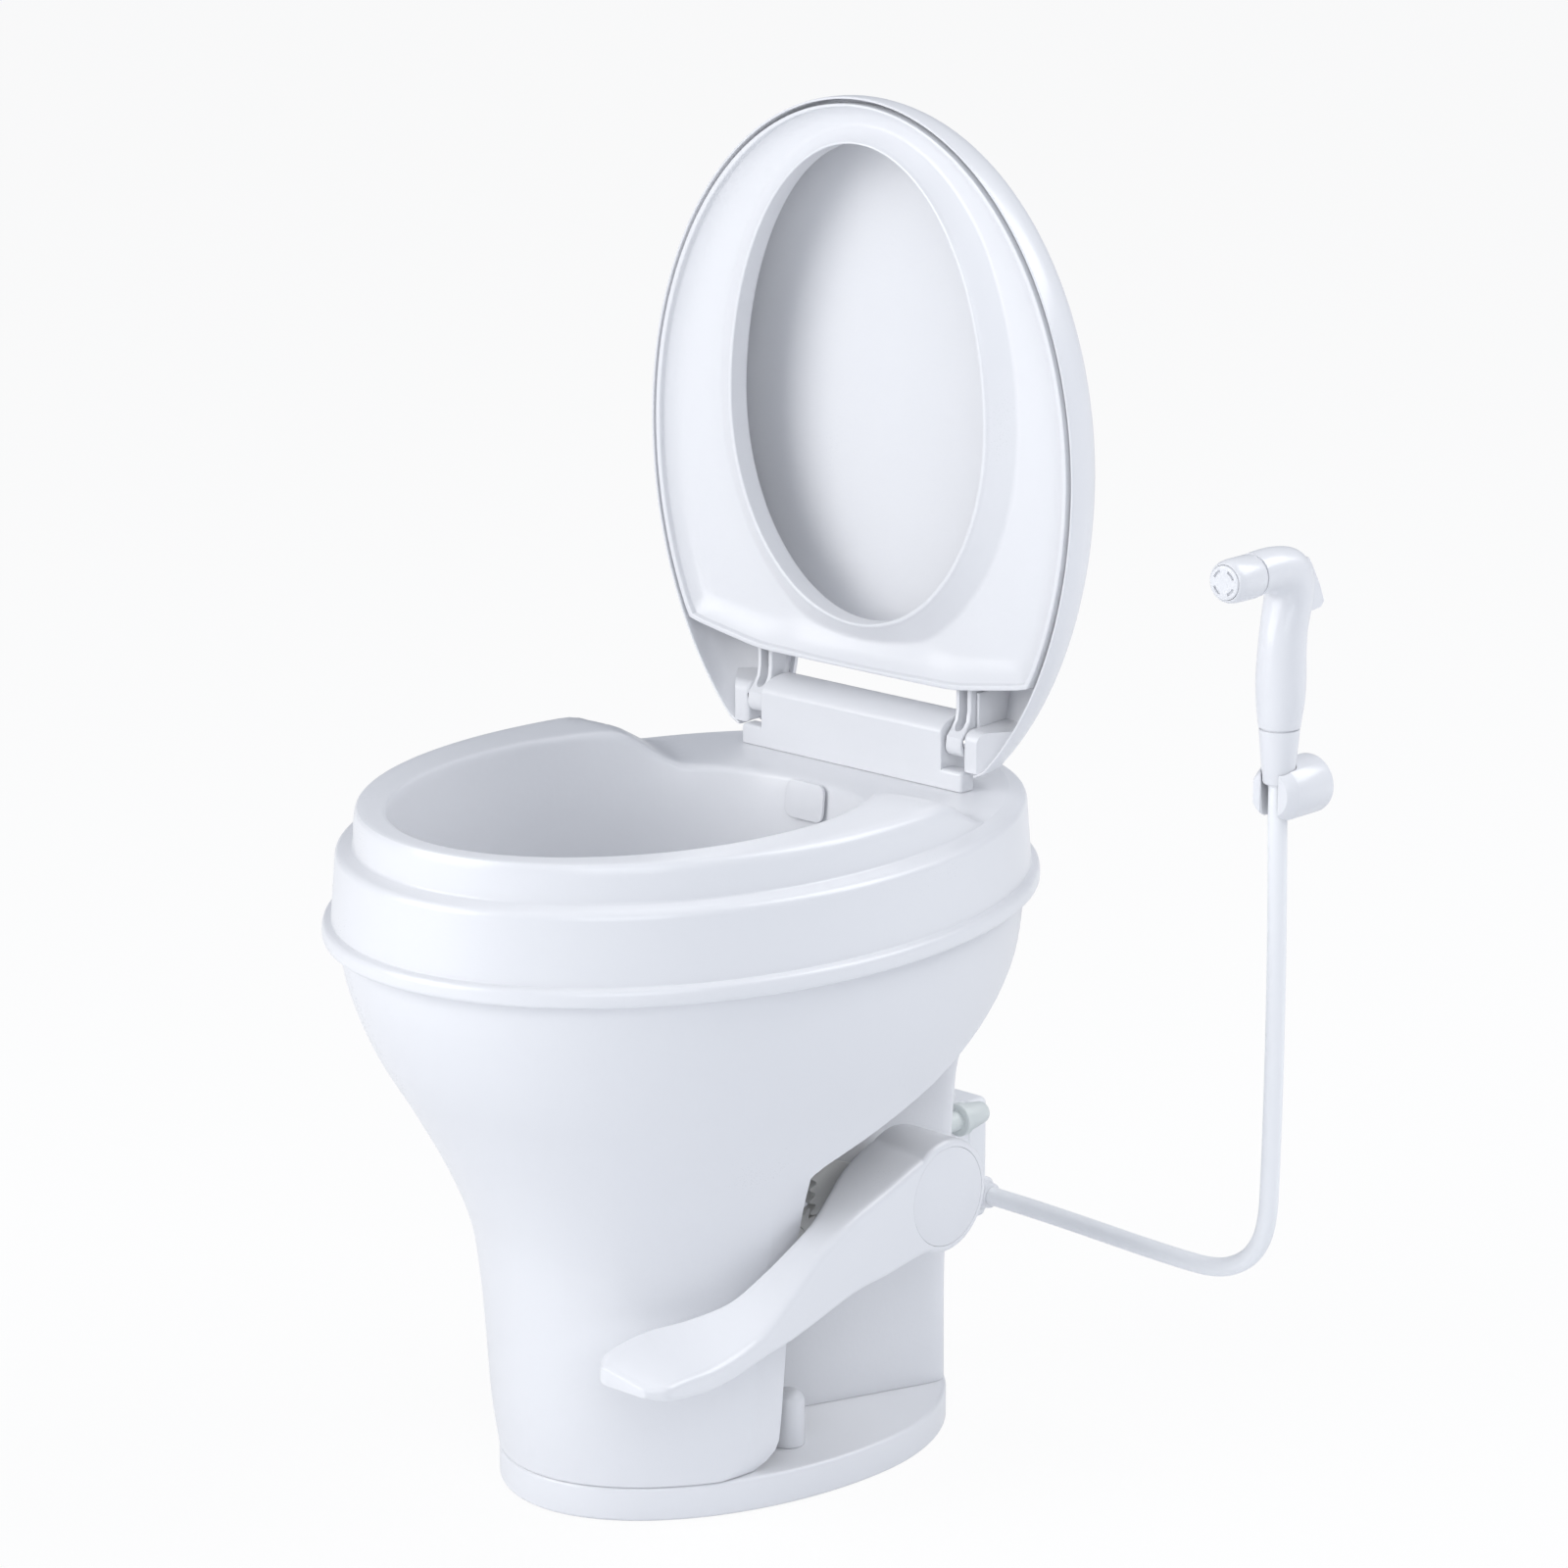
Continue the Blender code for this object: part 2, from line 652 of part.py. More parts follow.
def build_front_shell():
    """The pedestal's front cover. Its sides stop short of the floor bolts, and its rear edge climbs to the lip."""
    height = SHELL_HIGH_Z - SHELL_LOW_Z
    levels = [SHELL_LOW_Z + height * place for place, width in SHELL_SHARES]
    outer = [shell_outline(z, 0.0, RING_STEPS) for z in levels]
    inner = [shell_outline(z, SHELL_WALL, RING_STEPS) for z in reversed(levels)]
    shell = loft("front_shell", outer + inner, WHITE, looped=True)
    rise = SHELL_HIGH_Z - SHELL_NOTCH_Z
    run = RING_Y + RING_REAR - SHELL_EDGE_Y
    edge_shares = ((0.0, 0.0), (0.02, 0.04), (0.17, 0.18), (0.34, 0.325), (0.50, 0.49), (0.72, 0.72),
                   (0.93, 0.93), (1.2, 0.93))
    outline = [(SHELL_EDGE_Y, -OVERRUN)]
    outline += [(SHELL_EDGE_Y + run * along, SHELL_NOTCH_Z + rise * up) for along, up in edge_shares]
    outline += [(SHELL_EDGE_Y + run * edge_shares[-1][0], -OVERRUN)]
    reach = RING_HALF_WIDTH + BEAD_OUT
    cut(shell, prism_x("rear_cutout", outline, -reach, reach, None))


def column_section(z, flare, front_y):
    """The column's wall in plan: two straight cheeks and a round back, open to the front."""
    def back(inset):
        points = []
        for step in range(11):
            angle = COLUMN_CORNER + (math.pi - 2 * COLUMN_CORNER) * step / 10
            points.append(Vector(((FOOT_HALF_WIDTH - COLUMN_INSET + flare - inset) * math.cos(angle),
                                  FOOT_Y + (FOOT_REAR - COLUMN_INSET + flare - inset) * math.sin(angle), z)))
        return points
    outer = back(0.0)
    inner = back(COLUMN_WALL)
    slope = (outer[0].x - flare - COLUMN_FRONT_HALF) / (FOOT_REAR * math.sin(COLUMN_CORNER) + FOOT_Y
                                                        - COLUMN_FRONT_Y)
    cheek = 3
    sides = []
    for points, inset in ((outer, 0.0), (inner, COLUMN_WALL)):
        corner = points[0]
        line = []
        for step in range(cheek):
            y = between(front_y, corner.y, step / cheek)
            x = corner.x - (corner.y - y) * slope
            line.append(Vector((x, y, z)))
        mirrored = [Vector((-point.x, point.y, z)) for point in reversed(line)]
        sides.append(line + points + mirrored)
    return sides[0] + list(reversed(sides[1]))


def build_column():
    """The rear column, open to the front, which carries the deck, the pedal's boss and the water valve."""
    top = DECK_Z - RING_WALL - GAP
    height = top - SHELL_LOW_Z
    flare_shares = ((0.0, 0.0), (0.20, 0.0), (0.25, 0.01), (0.47, 0.145), (0.54, 0.21), (0.59, 0.375), (0.64, 0.60),
                    (0.72, 0.84), (0.80, 1.0), (1.0, 1.0))
    front_shares = ((0.0, COLUMN_FOOT_Y), (0.20, COLUMN_FOOT_Y), (0.25, COLUMN_FRONT_Y), (0.45, COLUMN_FRONT_Y),
                    (0.54, between(COLUMN_FRONT_Y, COLUMN_THROAT_Y, 0.12)),
                    (0.59, between(COLUMN_FRONT_Y, COLUMN_THROAT_Y, 0.26)),
                    (0.72, between(COLUMN_FRONT_Y, COLUMN_THROAT_Y, 0.66)), (0.80, COLUMN_THROAT_Y),
                    (1.0, COLUMN_THROAT_Y))
    rings = []
    for place, flare in flare_shares:
        front_y = read_table(front_shares, place)
        rings.append(column_section(SHELL_LOW_Z + height * place, COLUMN_FLARE * flare, front_y))
    column = loft("rear_column", rings, WHITE)
    axle = Vector((0, PEDAL_Y, PEDAL_Z))
    side = Vector((1, 0, 0))
    join(column, rod("pedal_boss", axle + side * COLUMN_FRONT_HALF, axle + side * BOSS_END,
                     BOSS_RADIUS, None, 24))
    bore = SHAFT_RADIUS + BUSH_WALL + 2 * GAP
    cut(column, rod("boss_bore", axle, axle + side * PEDAL_FACE, bore, None, 24))
    join(column, block("valve_pad", (PAD_LEFT, FOOT_Y + FOOT_REAR - COLUMN_INSET - COLUMN_WALL, PAD_LOW),
                       (PAD_RIGHT, PAD_FACE_Y, PAD_HIGH), None))
    rear = PAD_FACE_Y + OVERRUN
    cut(column, rod("rod_hole", Vector((CAM_X, 0, PEDAL_Z - CAM_LEVER)),
                    Vector((CAM_X, rear, PEDAL_Z - CAM_LEVER)), ROD_RADIUS + 3 * GAP, None, 12))
    cut(column, rod("inlet_hole", Vector((INLET_X, COLUMN_THROAT_Y, INLET_Z)), Vector((INLET_X, rear, INLET_Z)),
                    INLET_STEM + GAP, None, 16))
    cut(column, rod("tube_hole", Vector((TUBE_X, 0, TUBE_Z)), Vector((TUBE_X, rear, TUBE_Z)),
                    TUBE_RADIUS + GAP, None, 16))


def build_drain():
    """The valve body: an upright pipe with a long trunnion boss towards the drive, and its ball seal."""
    foot = Vector((0, DRAIN_Y, 0))
    up = Vector((0, 0, 1))
    side = Vector((1, 0, 0))
    body = pipe("valve_body", foot + up * GAP, foot + up * (THROAT_Z - GAP), PIPE_OUTER, DRAIN_RADIUS, NYLON, 24)
    ball = Vector((0, DRAIN_Y, BALL_Z))
    inside = DRAIN_RADIUS + PIPE_WALL / 2
    join(body, rod("boss_long", ball + side * inside, ball + side * (PIPE_OUTER + TRUNNION_BOSS_LONG),
                   TRUNNION_BOSS, None, 20))
    join(body, rod("boss_short", ball - side * inside, ball - side * (PIPE_OUTER + TRUNNION_BOSS_SHORT),
                   TRUNNION_BOSS, None, 20))
    reach = side * (PIPE_OUTER + TRUNNION_BOSS_LONG + OVERRUN)
    cut(body, rod("trunnion_bore", ball - reach, ball + reach, TRUNNION_RADIUS + GAP, None, 20))
    inner = BALL_RADIUS - TRUNNION_RADIUS
    low = BALL_Z + math.sqrt(BALL_RADIUS ** 2 - inner ** 2) + 2 * GAP
    pipe("ball_seal", Vector((0, DRAIN_Y, low)), Vector((0, DRAIN_Y, low + SEAL_DEPTH)),
         DRAIN_RADIUS - GAP, inner, RUBBER, 24)


def build_ball():
    """The flush ball: half a hollow sphere on two trunnions, the long one carrying the pinion."""
    centre = Vector((0, DRAIN_Y, BALL_Z))
    across, ahead = Vector((1, 0, 0)), Vector((0, 1, 0))
    rings = []
    for radius, order in ((BALL_RADIUS, range(7)), (BALL_RADIUS - BALL_WALL, range(6, -1, -1))):
        for step in order:
            angle = math.radians(84) * step / 6
            level = centre + Vector((0, 0, radius * math.sin(angle)))
            rings.append(circle(level, across, ahead, radius * math.cos(angle), 18))
    count = 18
    points = [point for ring in rings for point in ring]
    faces = []
    for row in range(len(rings)):
        if row == 6:
            continue
        upper = (row + 1) % len(rings)
        for column in range(count):
            beside = (column + 1) % count
            faces.append((row * count + column, row * count + beside,
                          upper * count + beside, upper * count + column))
    faces.append(tuple(6 * count + column for column in range(count)))
    faces.append(tuple(reversed([7 * count + column for column in range(count)])))
    ball = add_mesh("flush_ball", points, faces, NYLON)
    start = BALL_RADIUS - BALL_WALL
    join(ball, rod("trunnion_long", centre + across * start, centre + across * (GEAR_X + GEAR_WIDTH),
                   TRUNNION_RADIUS, None, 20))
    join(ball, rod("trunnion_short", centre - across * start,
                   centre - across * (PIPE_OUTER + TRUNNION_BOSS_SHORT), TRUNNION_RADIUS, None, 20))


def tooth_points(teeth, middle):
    """Angle and radius of the four corners of one tooth."""
    pitch = GEAR_MODULE * teeth / 2
    half = math.pi * GEAR_MODULE / 4 - BACKLASH
    lean = math.tan(math.radians(20))
    corners = []
    for radius, sign in ((pitch - 1.2 * GEAR_MODULE, -1), (pitch + 0.9 * GEAR_MODULE, -1),
                         (pitch + 0.9 * GEAR_MODULE, 1), (pitch - 1.2 * GEAR_MODULE, 1)):
        width = half - (radius - pitch) * lean
        corners.append((middle + sign * width / radius, radius))
    return corners


def build_gear(name, centre, outline, bore, finish):
    """A gear from polar outline points round a bore."""
    rings = []
    for x, use_bore in ((GEAR_X, False), (GEAR_X + GEAR_WIDTH, False), (GEAR_X + GEAR_WIDTH, True), (GEAR_X, True)):
        ring = []
        for angle, radius in outline:
            reach = bore if use_bore else radius
            ring.append(Vector((x, centre.y + reach * math.cos(angle), centre.z + reach * math.sin(angle))))
        rings.append(ring)
    return loft(name, rings, finish, looped=True)


def build_gears():
    """The pedal's toothed sector and the ball's pinion, in mesh at rest."""
    axle = Vector((0, PEDAL_Y, PEDAL_Z))
    ball = Vector((0, DRAIN_Y, BALL_Z))
    pitch_angle = math.tau / SECTOR_TEETH
    outline = []
    teeth_in_use = range(-5, 4)
    for tooth in teeth_in_use:
        outline += tooth_points(SECTOR_TEETH, GEAR_LINE + tooth * pitch_angle)
    edge_low = outline[0][0] - pitch_angle / 3
    edge_high = outline[-1][0] + pitch_angle / 3
    root = GEAR_MODULE * (SECTOR_TEETH / 2 - 1.2)
    outline = [(edge_low, root)] + outline + [(edge_high, root)]
    hub_steps = 10
    start = edge_high + pitch_angle * 2
    sweep = math.tau - (start - edge_low) - pitch_angle * 2
    for step in range(hub_steps):
        outline.append((start + sweep * step / (hub_steps - 1), SECTOR_HUB))
    sector = build_gear("sector_gear", axle, outline, SHAFT_RADIUS + GAP, NYLON)
    side = Vector((1, 0, 0))
    spacer_start = GEAR_X + GEAR_WIDTH / 2
    spacer_end = PEDAL_FACE - HUB_WIDTH - GAP
    join(sector, pipe("sector_spacer", axle + side * spacer_start, axle + side * spacer_end,
                      SPACER_RADIUS, SHAFT_RADIUS + GAP, None, 20))
    teeth = []
    first = GEAR_LINE + math.pi + math.pi / PINION_TEETH
    for tooth in range(PINION_TEETH):
        teeth += tooth_points(PINION_TEETH, first + math.tau * tooth / PINION_TEETH)
    build_gear("ball_pinion", ball, teeth, TRUNNION_RADIUS + GAP, NYLON)


def pedal_section(share, z_in, z_out, z_low, width_share):
    """One rounded cross-section of the pedal's arm, at a share of its reach."""
    y = PEDAL_Y - PEDAL_REACH * share
    right = PEDAL_FACE
    left = PEDAL_FACE - PAD_WIDTH * width_share
    corners = [Vector((left, y, PEDAL_Z + HUB_RADIUS * z_low)), Vector((right, y, PEDAL_Z + HUB_RADIUS * z_low)),
               Vector((right, y, PEDAL_Z + HUB_RADIUS * z_out)), Vector((left, y, PEDAL_Z + HUB_RADIUS * z_in))]
    ring = []
    for index, corner in enumerate(corners):
        before = corners[index - 1]
        after = corners[(index + 1) % 4]
        for other in (before, after):
            edge = min((other - corner).length * 0.3, HUB_ROUND)
            ring.append(corner + (other - corner).normalized() * edge)
        ring.insert(-1, corner + (before - corner).normalized() * edge * 0.3
                    + (after - corner).normalized() * edge * 0.3)
    return ring


def build_pedal():
    """The foot pedal: a round hub, a deep arm that hugs the shell, and a wide pad at the tip."""
    axle = Vector((0, PEDAL_Y, PEDAL_Z))
    side = Vector((1, 0, 0))
    width_share = HUB_WIDTH / PAD_WIDTH
    stations = [(0, HUB_RADIUS), (HUB_WIDTH - HUB_ROUND, HUB_RADIUS),
                (HUB_WIDTH - HUB_ROUND / 3, HUB_RADIUS - HUB_ROUND / 3), (HUB_WIDTH, HUB_RADIUS - HUB_ROUND)]
    start = axle + side * (PEDAL_FACE - HUB_WIDTH)
    pedal = turned("pedal", start, axle + side * PEDAL_FACE, stations, WHITE, 32)
    arm_shares = (
        (0.0, 0.93, 0.93, -0.93, width_share), (0.09, 0.84, 0.80, -0.90, width_share),
        (0.20, 0.62, 0.52, -1.02, 0.80), (0.32, 0.36, 0.22, -1.12, 0.56), (0.40, 0.15, -0.05, -1.26, 0.42),
        (0.48, -0.06, -0.42, -1.42, 0.36), (0.56, -0.44, -0.86, -1.56, 0.44), (0.64, -0.84, -1.24, -1.66, 0.60),
        (0.73, -1.08, -1.43, -1.80, 0.86), (0.82, -1.16, -1.52, -1.86, 1.05), (0.91, -1.22, -1.50, -1.80, 1.08),
        (0.975, -1.30, -1.50, -1.74, 1.05), (1.0, -1.38, -1.52, -1.70, 0.96))
    rings = [pedal_section(*row) for row in arm_shares]
    join(pedal, loft("pedal_arm", rings, None))
    cut(pedal, rod("pedal_bore", start - side * OVERRUN, axle + side * (PEDAL_FACE - CAP_THICK * 2),
                   SHAFT_RADIUS + GAP, None, 24))
    cut(pedal, rod("cap_recess", axle + side * (PEDAL_FACE - CAP_THICK), axle + side * (PEDAL_FACE + OVERRUN),
                   CAP_RADIUS + GAP, None, 32))
    cap_start = axle + side * (PEDAL_FACE - CAP_THICK + GAP)
    rod("pedal_cap", cap_start, axle + side * (PEDAL_FACE + GAP), CAP_RADIUS, WHITE, 32, CAP_THICK / 4)
    rod("pedal_shaft", axle + side * SHAFT_INNER, axle + side * (PEDAL_FACE - CAP_THICK * 2 - GAP),
        SHAFT_RADIUS, STEEL, 24)
    bush_start = axle + side * (COLUMN_FRONT_HALF + COLUMN_WALL)
    pipe("shaft_bush", bush_start, axle + side * (BOSS_END + GAP * 4), SHAFT_RADIUS + BUSH_WALL + GAP,
         SHAFT_RADIUS + GAP, NYLON, 24)


def build_shaft_bracket():
    """The upright that carries the shaft's inner end."""
    low = (SHAFT_INNER + GAP * 4, PEDAL_Y - BRACKET_HALF, FOOT_HEIGHT + GAP)
    high = (SHAFT_INNER + GAP * 4 + BRACKET_THICK, PEDAL_Y + BRACKET_HALF, PEDAL_Z + BRACKET_HALF)
    bracket = block("shaft_bracket", low, high, NYLON)
    axle = Vector((0, PEDAL_Y, PEDAL_Z))
    side = Vector((1, 0, 0))
    cut(bracket, rod("bracket_bore", axle, axle + side * (SHAFT_INNER + BRACKET_THICK * 2),
                     SHAFT_RADIUS + GAP, None, 24))


def build_return_spring():
    """The wound torsion spring round the pedal's shaft, beside its bracket."""
    axle = Vector((SHAFT_INNER + GAP * 5 + BRACKET_THICK + SPRING_WIRE / 2, PEDAL_Y, PEDAL_Z))
    points = []
    steps = SPRING_TURNS * 9
    for step in range(steps + 1):
        turn = step / 9
        angle = math.tau * turn
        points.append(axle + Vector((SPRING_PITCH * turn, SPRING_RADIUS * math.cos(angle),
                                     SPRING_RADIUS * math.sin(angle))))
    gap_to_itself = SPRING_PITCH - SPRING_WIRE
    print("return spring: least gap between turns %.5f m" % gap_to_itself)
    swept_tube("return_spring", points, SPRING_WIRE / 2, STEEL, 1)


def build_cam():
    """The lever on the shaft that pushes the water valve's rod."""
    rings = []
    lever = CAM_LEVER + ROD_RADIUS + CAM_HALF
    hub = SHAFT_RADIUS + BUSH_WALL
    tip_angle = math.asin(CAM_HALF / lever)
    foot_angle = math.asin(CAM_HALF / hub)
    outline = []
    for step in range(13):
        angle = -math.pi / 2 + foot_angle + (math.tau - 2 * foot_angle) * step / 12
        outline.append((angle, hub))
    outline.append((-math.pi / 2 - tip_angle + math.tau, lever))
    outline.append((-math.pi / 2 + tip_angle + math.tau, lever))
    start = CAM_X - CAM_WIDTH / 2
    for x, use_bore in ((start, False), (start + CAM_WIDTH, False), (start + CAM_WIDTH, True), (start, True)):
        ring = []
        for angle, radius in outline:
            reach = SHAFT_RADIUS + GAP if use_bore else radius
            ring.append(Vector((x, PEDAL_Y + reach * math.cos(angle), PEDAL_Z + reach * math.sin(angle))))
        rings.append(ring)
    loft("valve_cam", rings, NYLON, looped=True)


def build_water_valve():
    """The water valve on the column's back, its push rod, its inlet and its hose outlet."""
    front = PAD_FACE_Y + GAP
    body = block("water_valve", (VALVE_LEFT, front, VALVE_LOW), (VALVE_RIGHT, front + VALVE_DEPTH, VALVE_HIGH),
                 SOFT_WHITE)
    soften(body, 0.004)
    rod_z = PEDAL_Z - CAM_LEVER
    deep = front + VALVE_DEPTH * 0.8
    cut(body, rod("valve_bore", Vector((CAM_X, 0, rod_z)), Vector((CAM_X, deep, rod_z)),
                  ROD_RADIUS + GAP, None, 12))
    cut(body, rod("valve_outlet", Vector((TUBE_X, 0, TUBE_Z)), Vector((TUBE_X, front + VALVE_DEPTH / 2, TUBE_Z)),
                  TUBE_RADIUS + GAP, None, 16))
    rod("valve_rod", Vector((CAM_X, PEDAL_Y + CAM_HALF + GAP, rod_z)),
        Vector((CAM_X, front + VALVE_DEPTH * 0.5, rod_z)), ROD_RADIUS, STEEL, 12)
    hose_z = HOSE_ROUTE[0].z
    hose_y = HOSE_ROUTE[0].y
    start = Vector((VALVE_RIGHT + GAP, hose_y, hose_z))
    end = HOSE_ROUTE[0] - Vector((GAP, 0, 0))
    length = (end - start).length
    turned("hose_nut", start, end, [(0, HOSE_RADIUS * 1.9), (length * 0.55, HOSE_RADIUS * 1.9),
                                    (length * 0.6, HOSE_RADIUS * 1.5), (length, HOSE_RADIUS * 1.35)], WHITE, 20)


def build_inlet():
    """The grey-green inlet cap that looks out of the column's rear corner, on a stem through its wall."""
    grow = COLUMN_FLARE * 0.14 - COLUMN_INSET
    near_x = INLET_X - INLET_RADIUS
    wall_y = FOOT_Y + (FOOT_REAR + grow) * math.sqrt(1 - (near_x / (FOOT_HALF_WIDTH + grow)) ** 2)
    stem = COLUMN_WALL * 3.5
    start = Vector((INLET_X, wall_y + GAP * 2 - stem, INLET_Z))
    end = Vector((INLET_X, INLET_REACH, INLET_Z))
    length = (end - start).length - stem
    stations = [(0, INLET_STEM), (stem, INLET_STEM), (stem, INLET_RADIUS), (stem + length * 0.18, INLET_RADIUS),
                (stem + length * 0.20, INLET_RADIUS * 0.80), (stem + length * 0.38, INLET_RADIUS * 0.84),
                (stem + length * 0.92, INLET_RADIUS * 0.66), (stem + length, INLET_RADIUS * 0.50)]
    turned("inlet_cap", start, end, stations, GREY_GREEN, 20)


def build_flush_line():
    """The flush water's way up: a pipe, the vacuum breaker under the deck and the elbow to the nozzle."""
    x = TUBE_X
    inside = PAD_FACE_Y + GAP + VALVE_DEPTH * 0.4
    points = [Vector((x, inside, TUBE_Z)), Vector((x, PAD_FACE_Y * 0.75, TUBE_Z)),
              Vector((x, PAD_FACE_Y * 0.4, TUBE_Z + TUBE_RADIUS * 0.05)),
              Vector((x, PAD_FACE_Y * 0.05, TUBE_Z + TUBE_RADIUS * 0.7)),
              Vector((x, BREAKER_Y, TUBE_Z + TUBE_RADIUS * 3.6)),
              Vector((x, BREAKER_Y, between(TUBE_Z, BREAKER_LOW, 0.6))), Vector((x, BREAKER_Y, BREAKER_LOW - GAP))]
    swept_tube("flush_tube", smooth_path(points, 22), TUBE_RADIUS, SOFT_WHITE, 2)
    low = Vector((x, BREAKER_Y, BREAKER_LOW))
    high = Vector((x, BREAKER_Y, BREAKER_HIGH))
    rod("vacuum_breaker", low, high, BREAKER_RADIUS, SOFT_WHITE, 24, BREAKER_RADIUS / 6)
    rear = OPENING_Y + OPENING_REAR
    bend = Vector((x, rear + TUBE_RADIUS * 1.7, BREAKER_HIGH + TUBE_RADIUS * 2))
    reach = Vector((x, BREAKER_Y, NOZZLE_Z)) - bend
    turn = math.sqrt(0.5)
    points = [Vector((x, BREAKER_Y, BREAKER_HIGH + GAP)), Vector((x, BREAKER_Y, BREAKER_HIGH + TUBE_RADIUS)),
              Vector((x, BREAKER_Y, bend.z)), bend + reach * turn,
              Vector((x, bend.y, NOZZLE_Z)), Vector((x, rear + TUBE_RADIUS * 0.8, NOZZLE_Z)),
              Vector((x, rear - GAP, NOZZLE_Z))]
    swept_tube("nozzle_elbow", smooth_path(points, 14), TUBE_RADIUS, SOFT_WHITE, 2)


def build_nozzle():
    """The flush nozzle: a small rounded plate on the bowl's rear wall that spreads the water."""
    liner_top = DECK_Z - OPENING_ROUND
    slope = LINER_TAPER / (liner_top - LINER_Z)
    reach = OPENING_REAR - slope * (liner_top - NOZZLE_Z)
    wall_y = OPENING_Y + reach * math.cos(math.pi / RING_STEPS) - GAP
    outline = []
    corner = NOZZLE_HIGH / 4
    for cx, cz, turn in ((1, -1, -0.25), (1, 1, 0.0), (-1, 1, 0.25), (-1, -1, 0.5)):
        for step in range(4):
            angle = math.tau * (turn + 0.25 * step / 3)
            outline.append((TUBE_X + cx * (NOZZLE_HALF - corner) + corner * math.cos(angle),
                            NOZZLE_Z + cz * (NOZZLE_HIGH / 2 - corner) + corner * math.sin(angle)))
    bow = (NOZZLE_HALF ** 2) / (2 * OPENING_HALF_WIDTH)
    rings = []
    for depth, grow in ((0.0, 1.0), (-NOZZLE_OUT, 0.93)):
        ring = []
        for px, pz in outline:
            x = TUBE_X + (px - TUBE_X) * grow
            z = NOZZLE_Z + (pz - NOZZLE_Z) * grow
            curve = bow * ((px - TUBE_X) / NOZZLE_HALF) ** 2
            lean = slope * (NOZZLE_Z - pz)
            ring.append(Vector((x, wall_y + depth - curve - lean, z)))
        rings.append(ring)
    loft("flush_nozzle", rings, WHITE)


def raised(x, up, depth):
    """A point of the raised seat or lid: across, up from the hinge, and back from its face."""
    return Vector((x, depth, HINGE_Z + up))


def reach_of(angle, mid, half, top, low, limits):
    """Distance from the seat hole's middle to an outline at an angle.

    The outline is an egg of a half width, top and low reach about mid. Each limit is a line
    through two points that the outline doesn't cross."""
    dx, dv = math.cos(angle), math.sin(angle)
    origin = SEAT_HOLE_MID - mid
    best = None
    for reach, wanted in ((top, 1), (low, -1)):
        a = (dx / half) ** 2 + (dv / reach) ** 2
        b = 2 * origin * dv / reach ** 2
        c = (origin / reach) ** 2 - 1
        root = (-b + math.sqrt(b * b - 4 * a * c)) / (2 * a)
        if (origin + root * dv) * wanted >= 0:
            best = root
    for (x0, v0), (x1, v1) in limits:
        cross = dx * (v1 - v0) - dv * (x1 - x0)
        if abs(cross) > 1e-9:
            along = (x0 * (v1 - v0) - (v0 - SEAT_HOLE_MID) * (x1 - x0)) / cross
            if 0 < along < best:
                best = along
    return best


SEAT_ANGLES = [math.tau * (step + 0.5) / SEAT_STEPS for step in range(SEAT_STEPS)]
SEAT_LIMITS = [((-SEAT_CORNER_HALF, SEAT_CORNER), (-SEAT_EDGE_HALF, SEAT_EDGE)),
               ((-SEAT_EDGE_HALF, SEAT_EDGE), (SEAT_EDGE_HALF, SEAT_EDGE)),
               ((SEAT_EDGE_HALF, SEAT_EDGE), (SEAT_CORNER_HALF, SEAT_CORNER))]


def seat_ring(place, depth, inset, hole_out):
    """A ring of the seat. Place 0 lies on the outer edge and 1 on the hole, each moved by its offset."""
    ring = []
    for angle in SEAT_ANGLES:
        outer = reach_of(angle, SEAT_MID, SEAT_HALF, SEAT_TOP, SEAT_LOW, SEAT_LIMITS) - inset
        hole = reach_of(angle, SEAT_HOLE_MID, SEAT_HOLE_HALF, SEAT_HOLE_TOP, SEAT_HOLE_LOW, ()) + hole_out
        reach = between(outer, hole, place)
        ring.append(raised(reach * math.cos(angle), SEAT_HOLE_MID + reach * math.sin(angle), depth))
    return ring


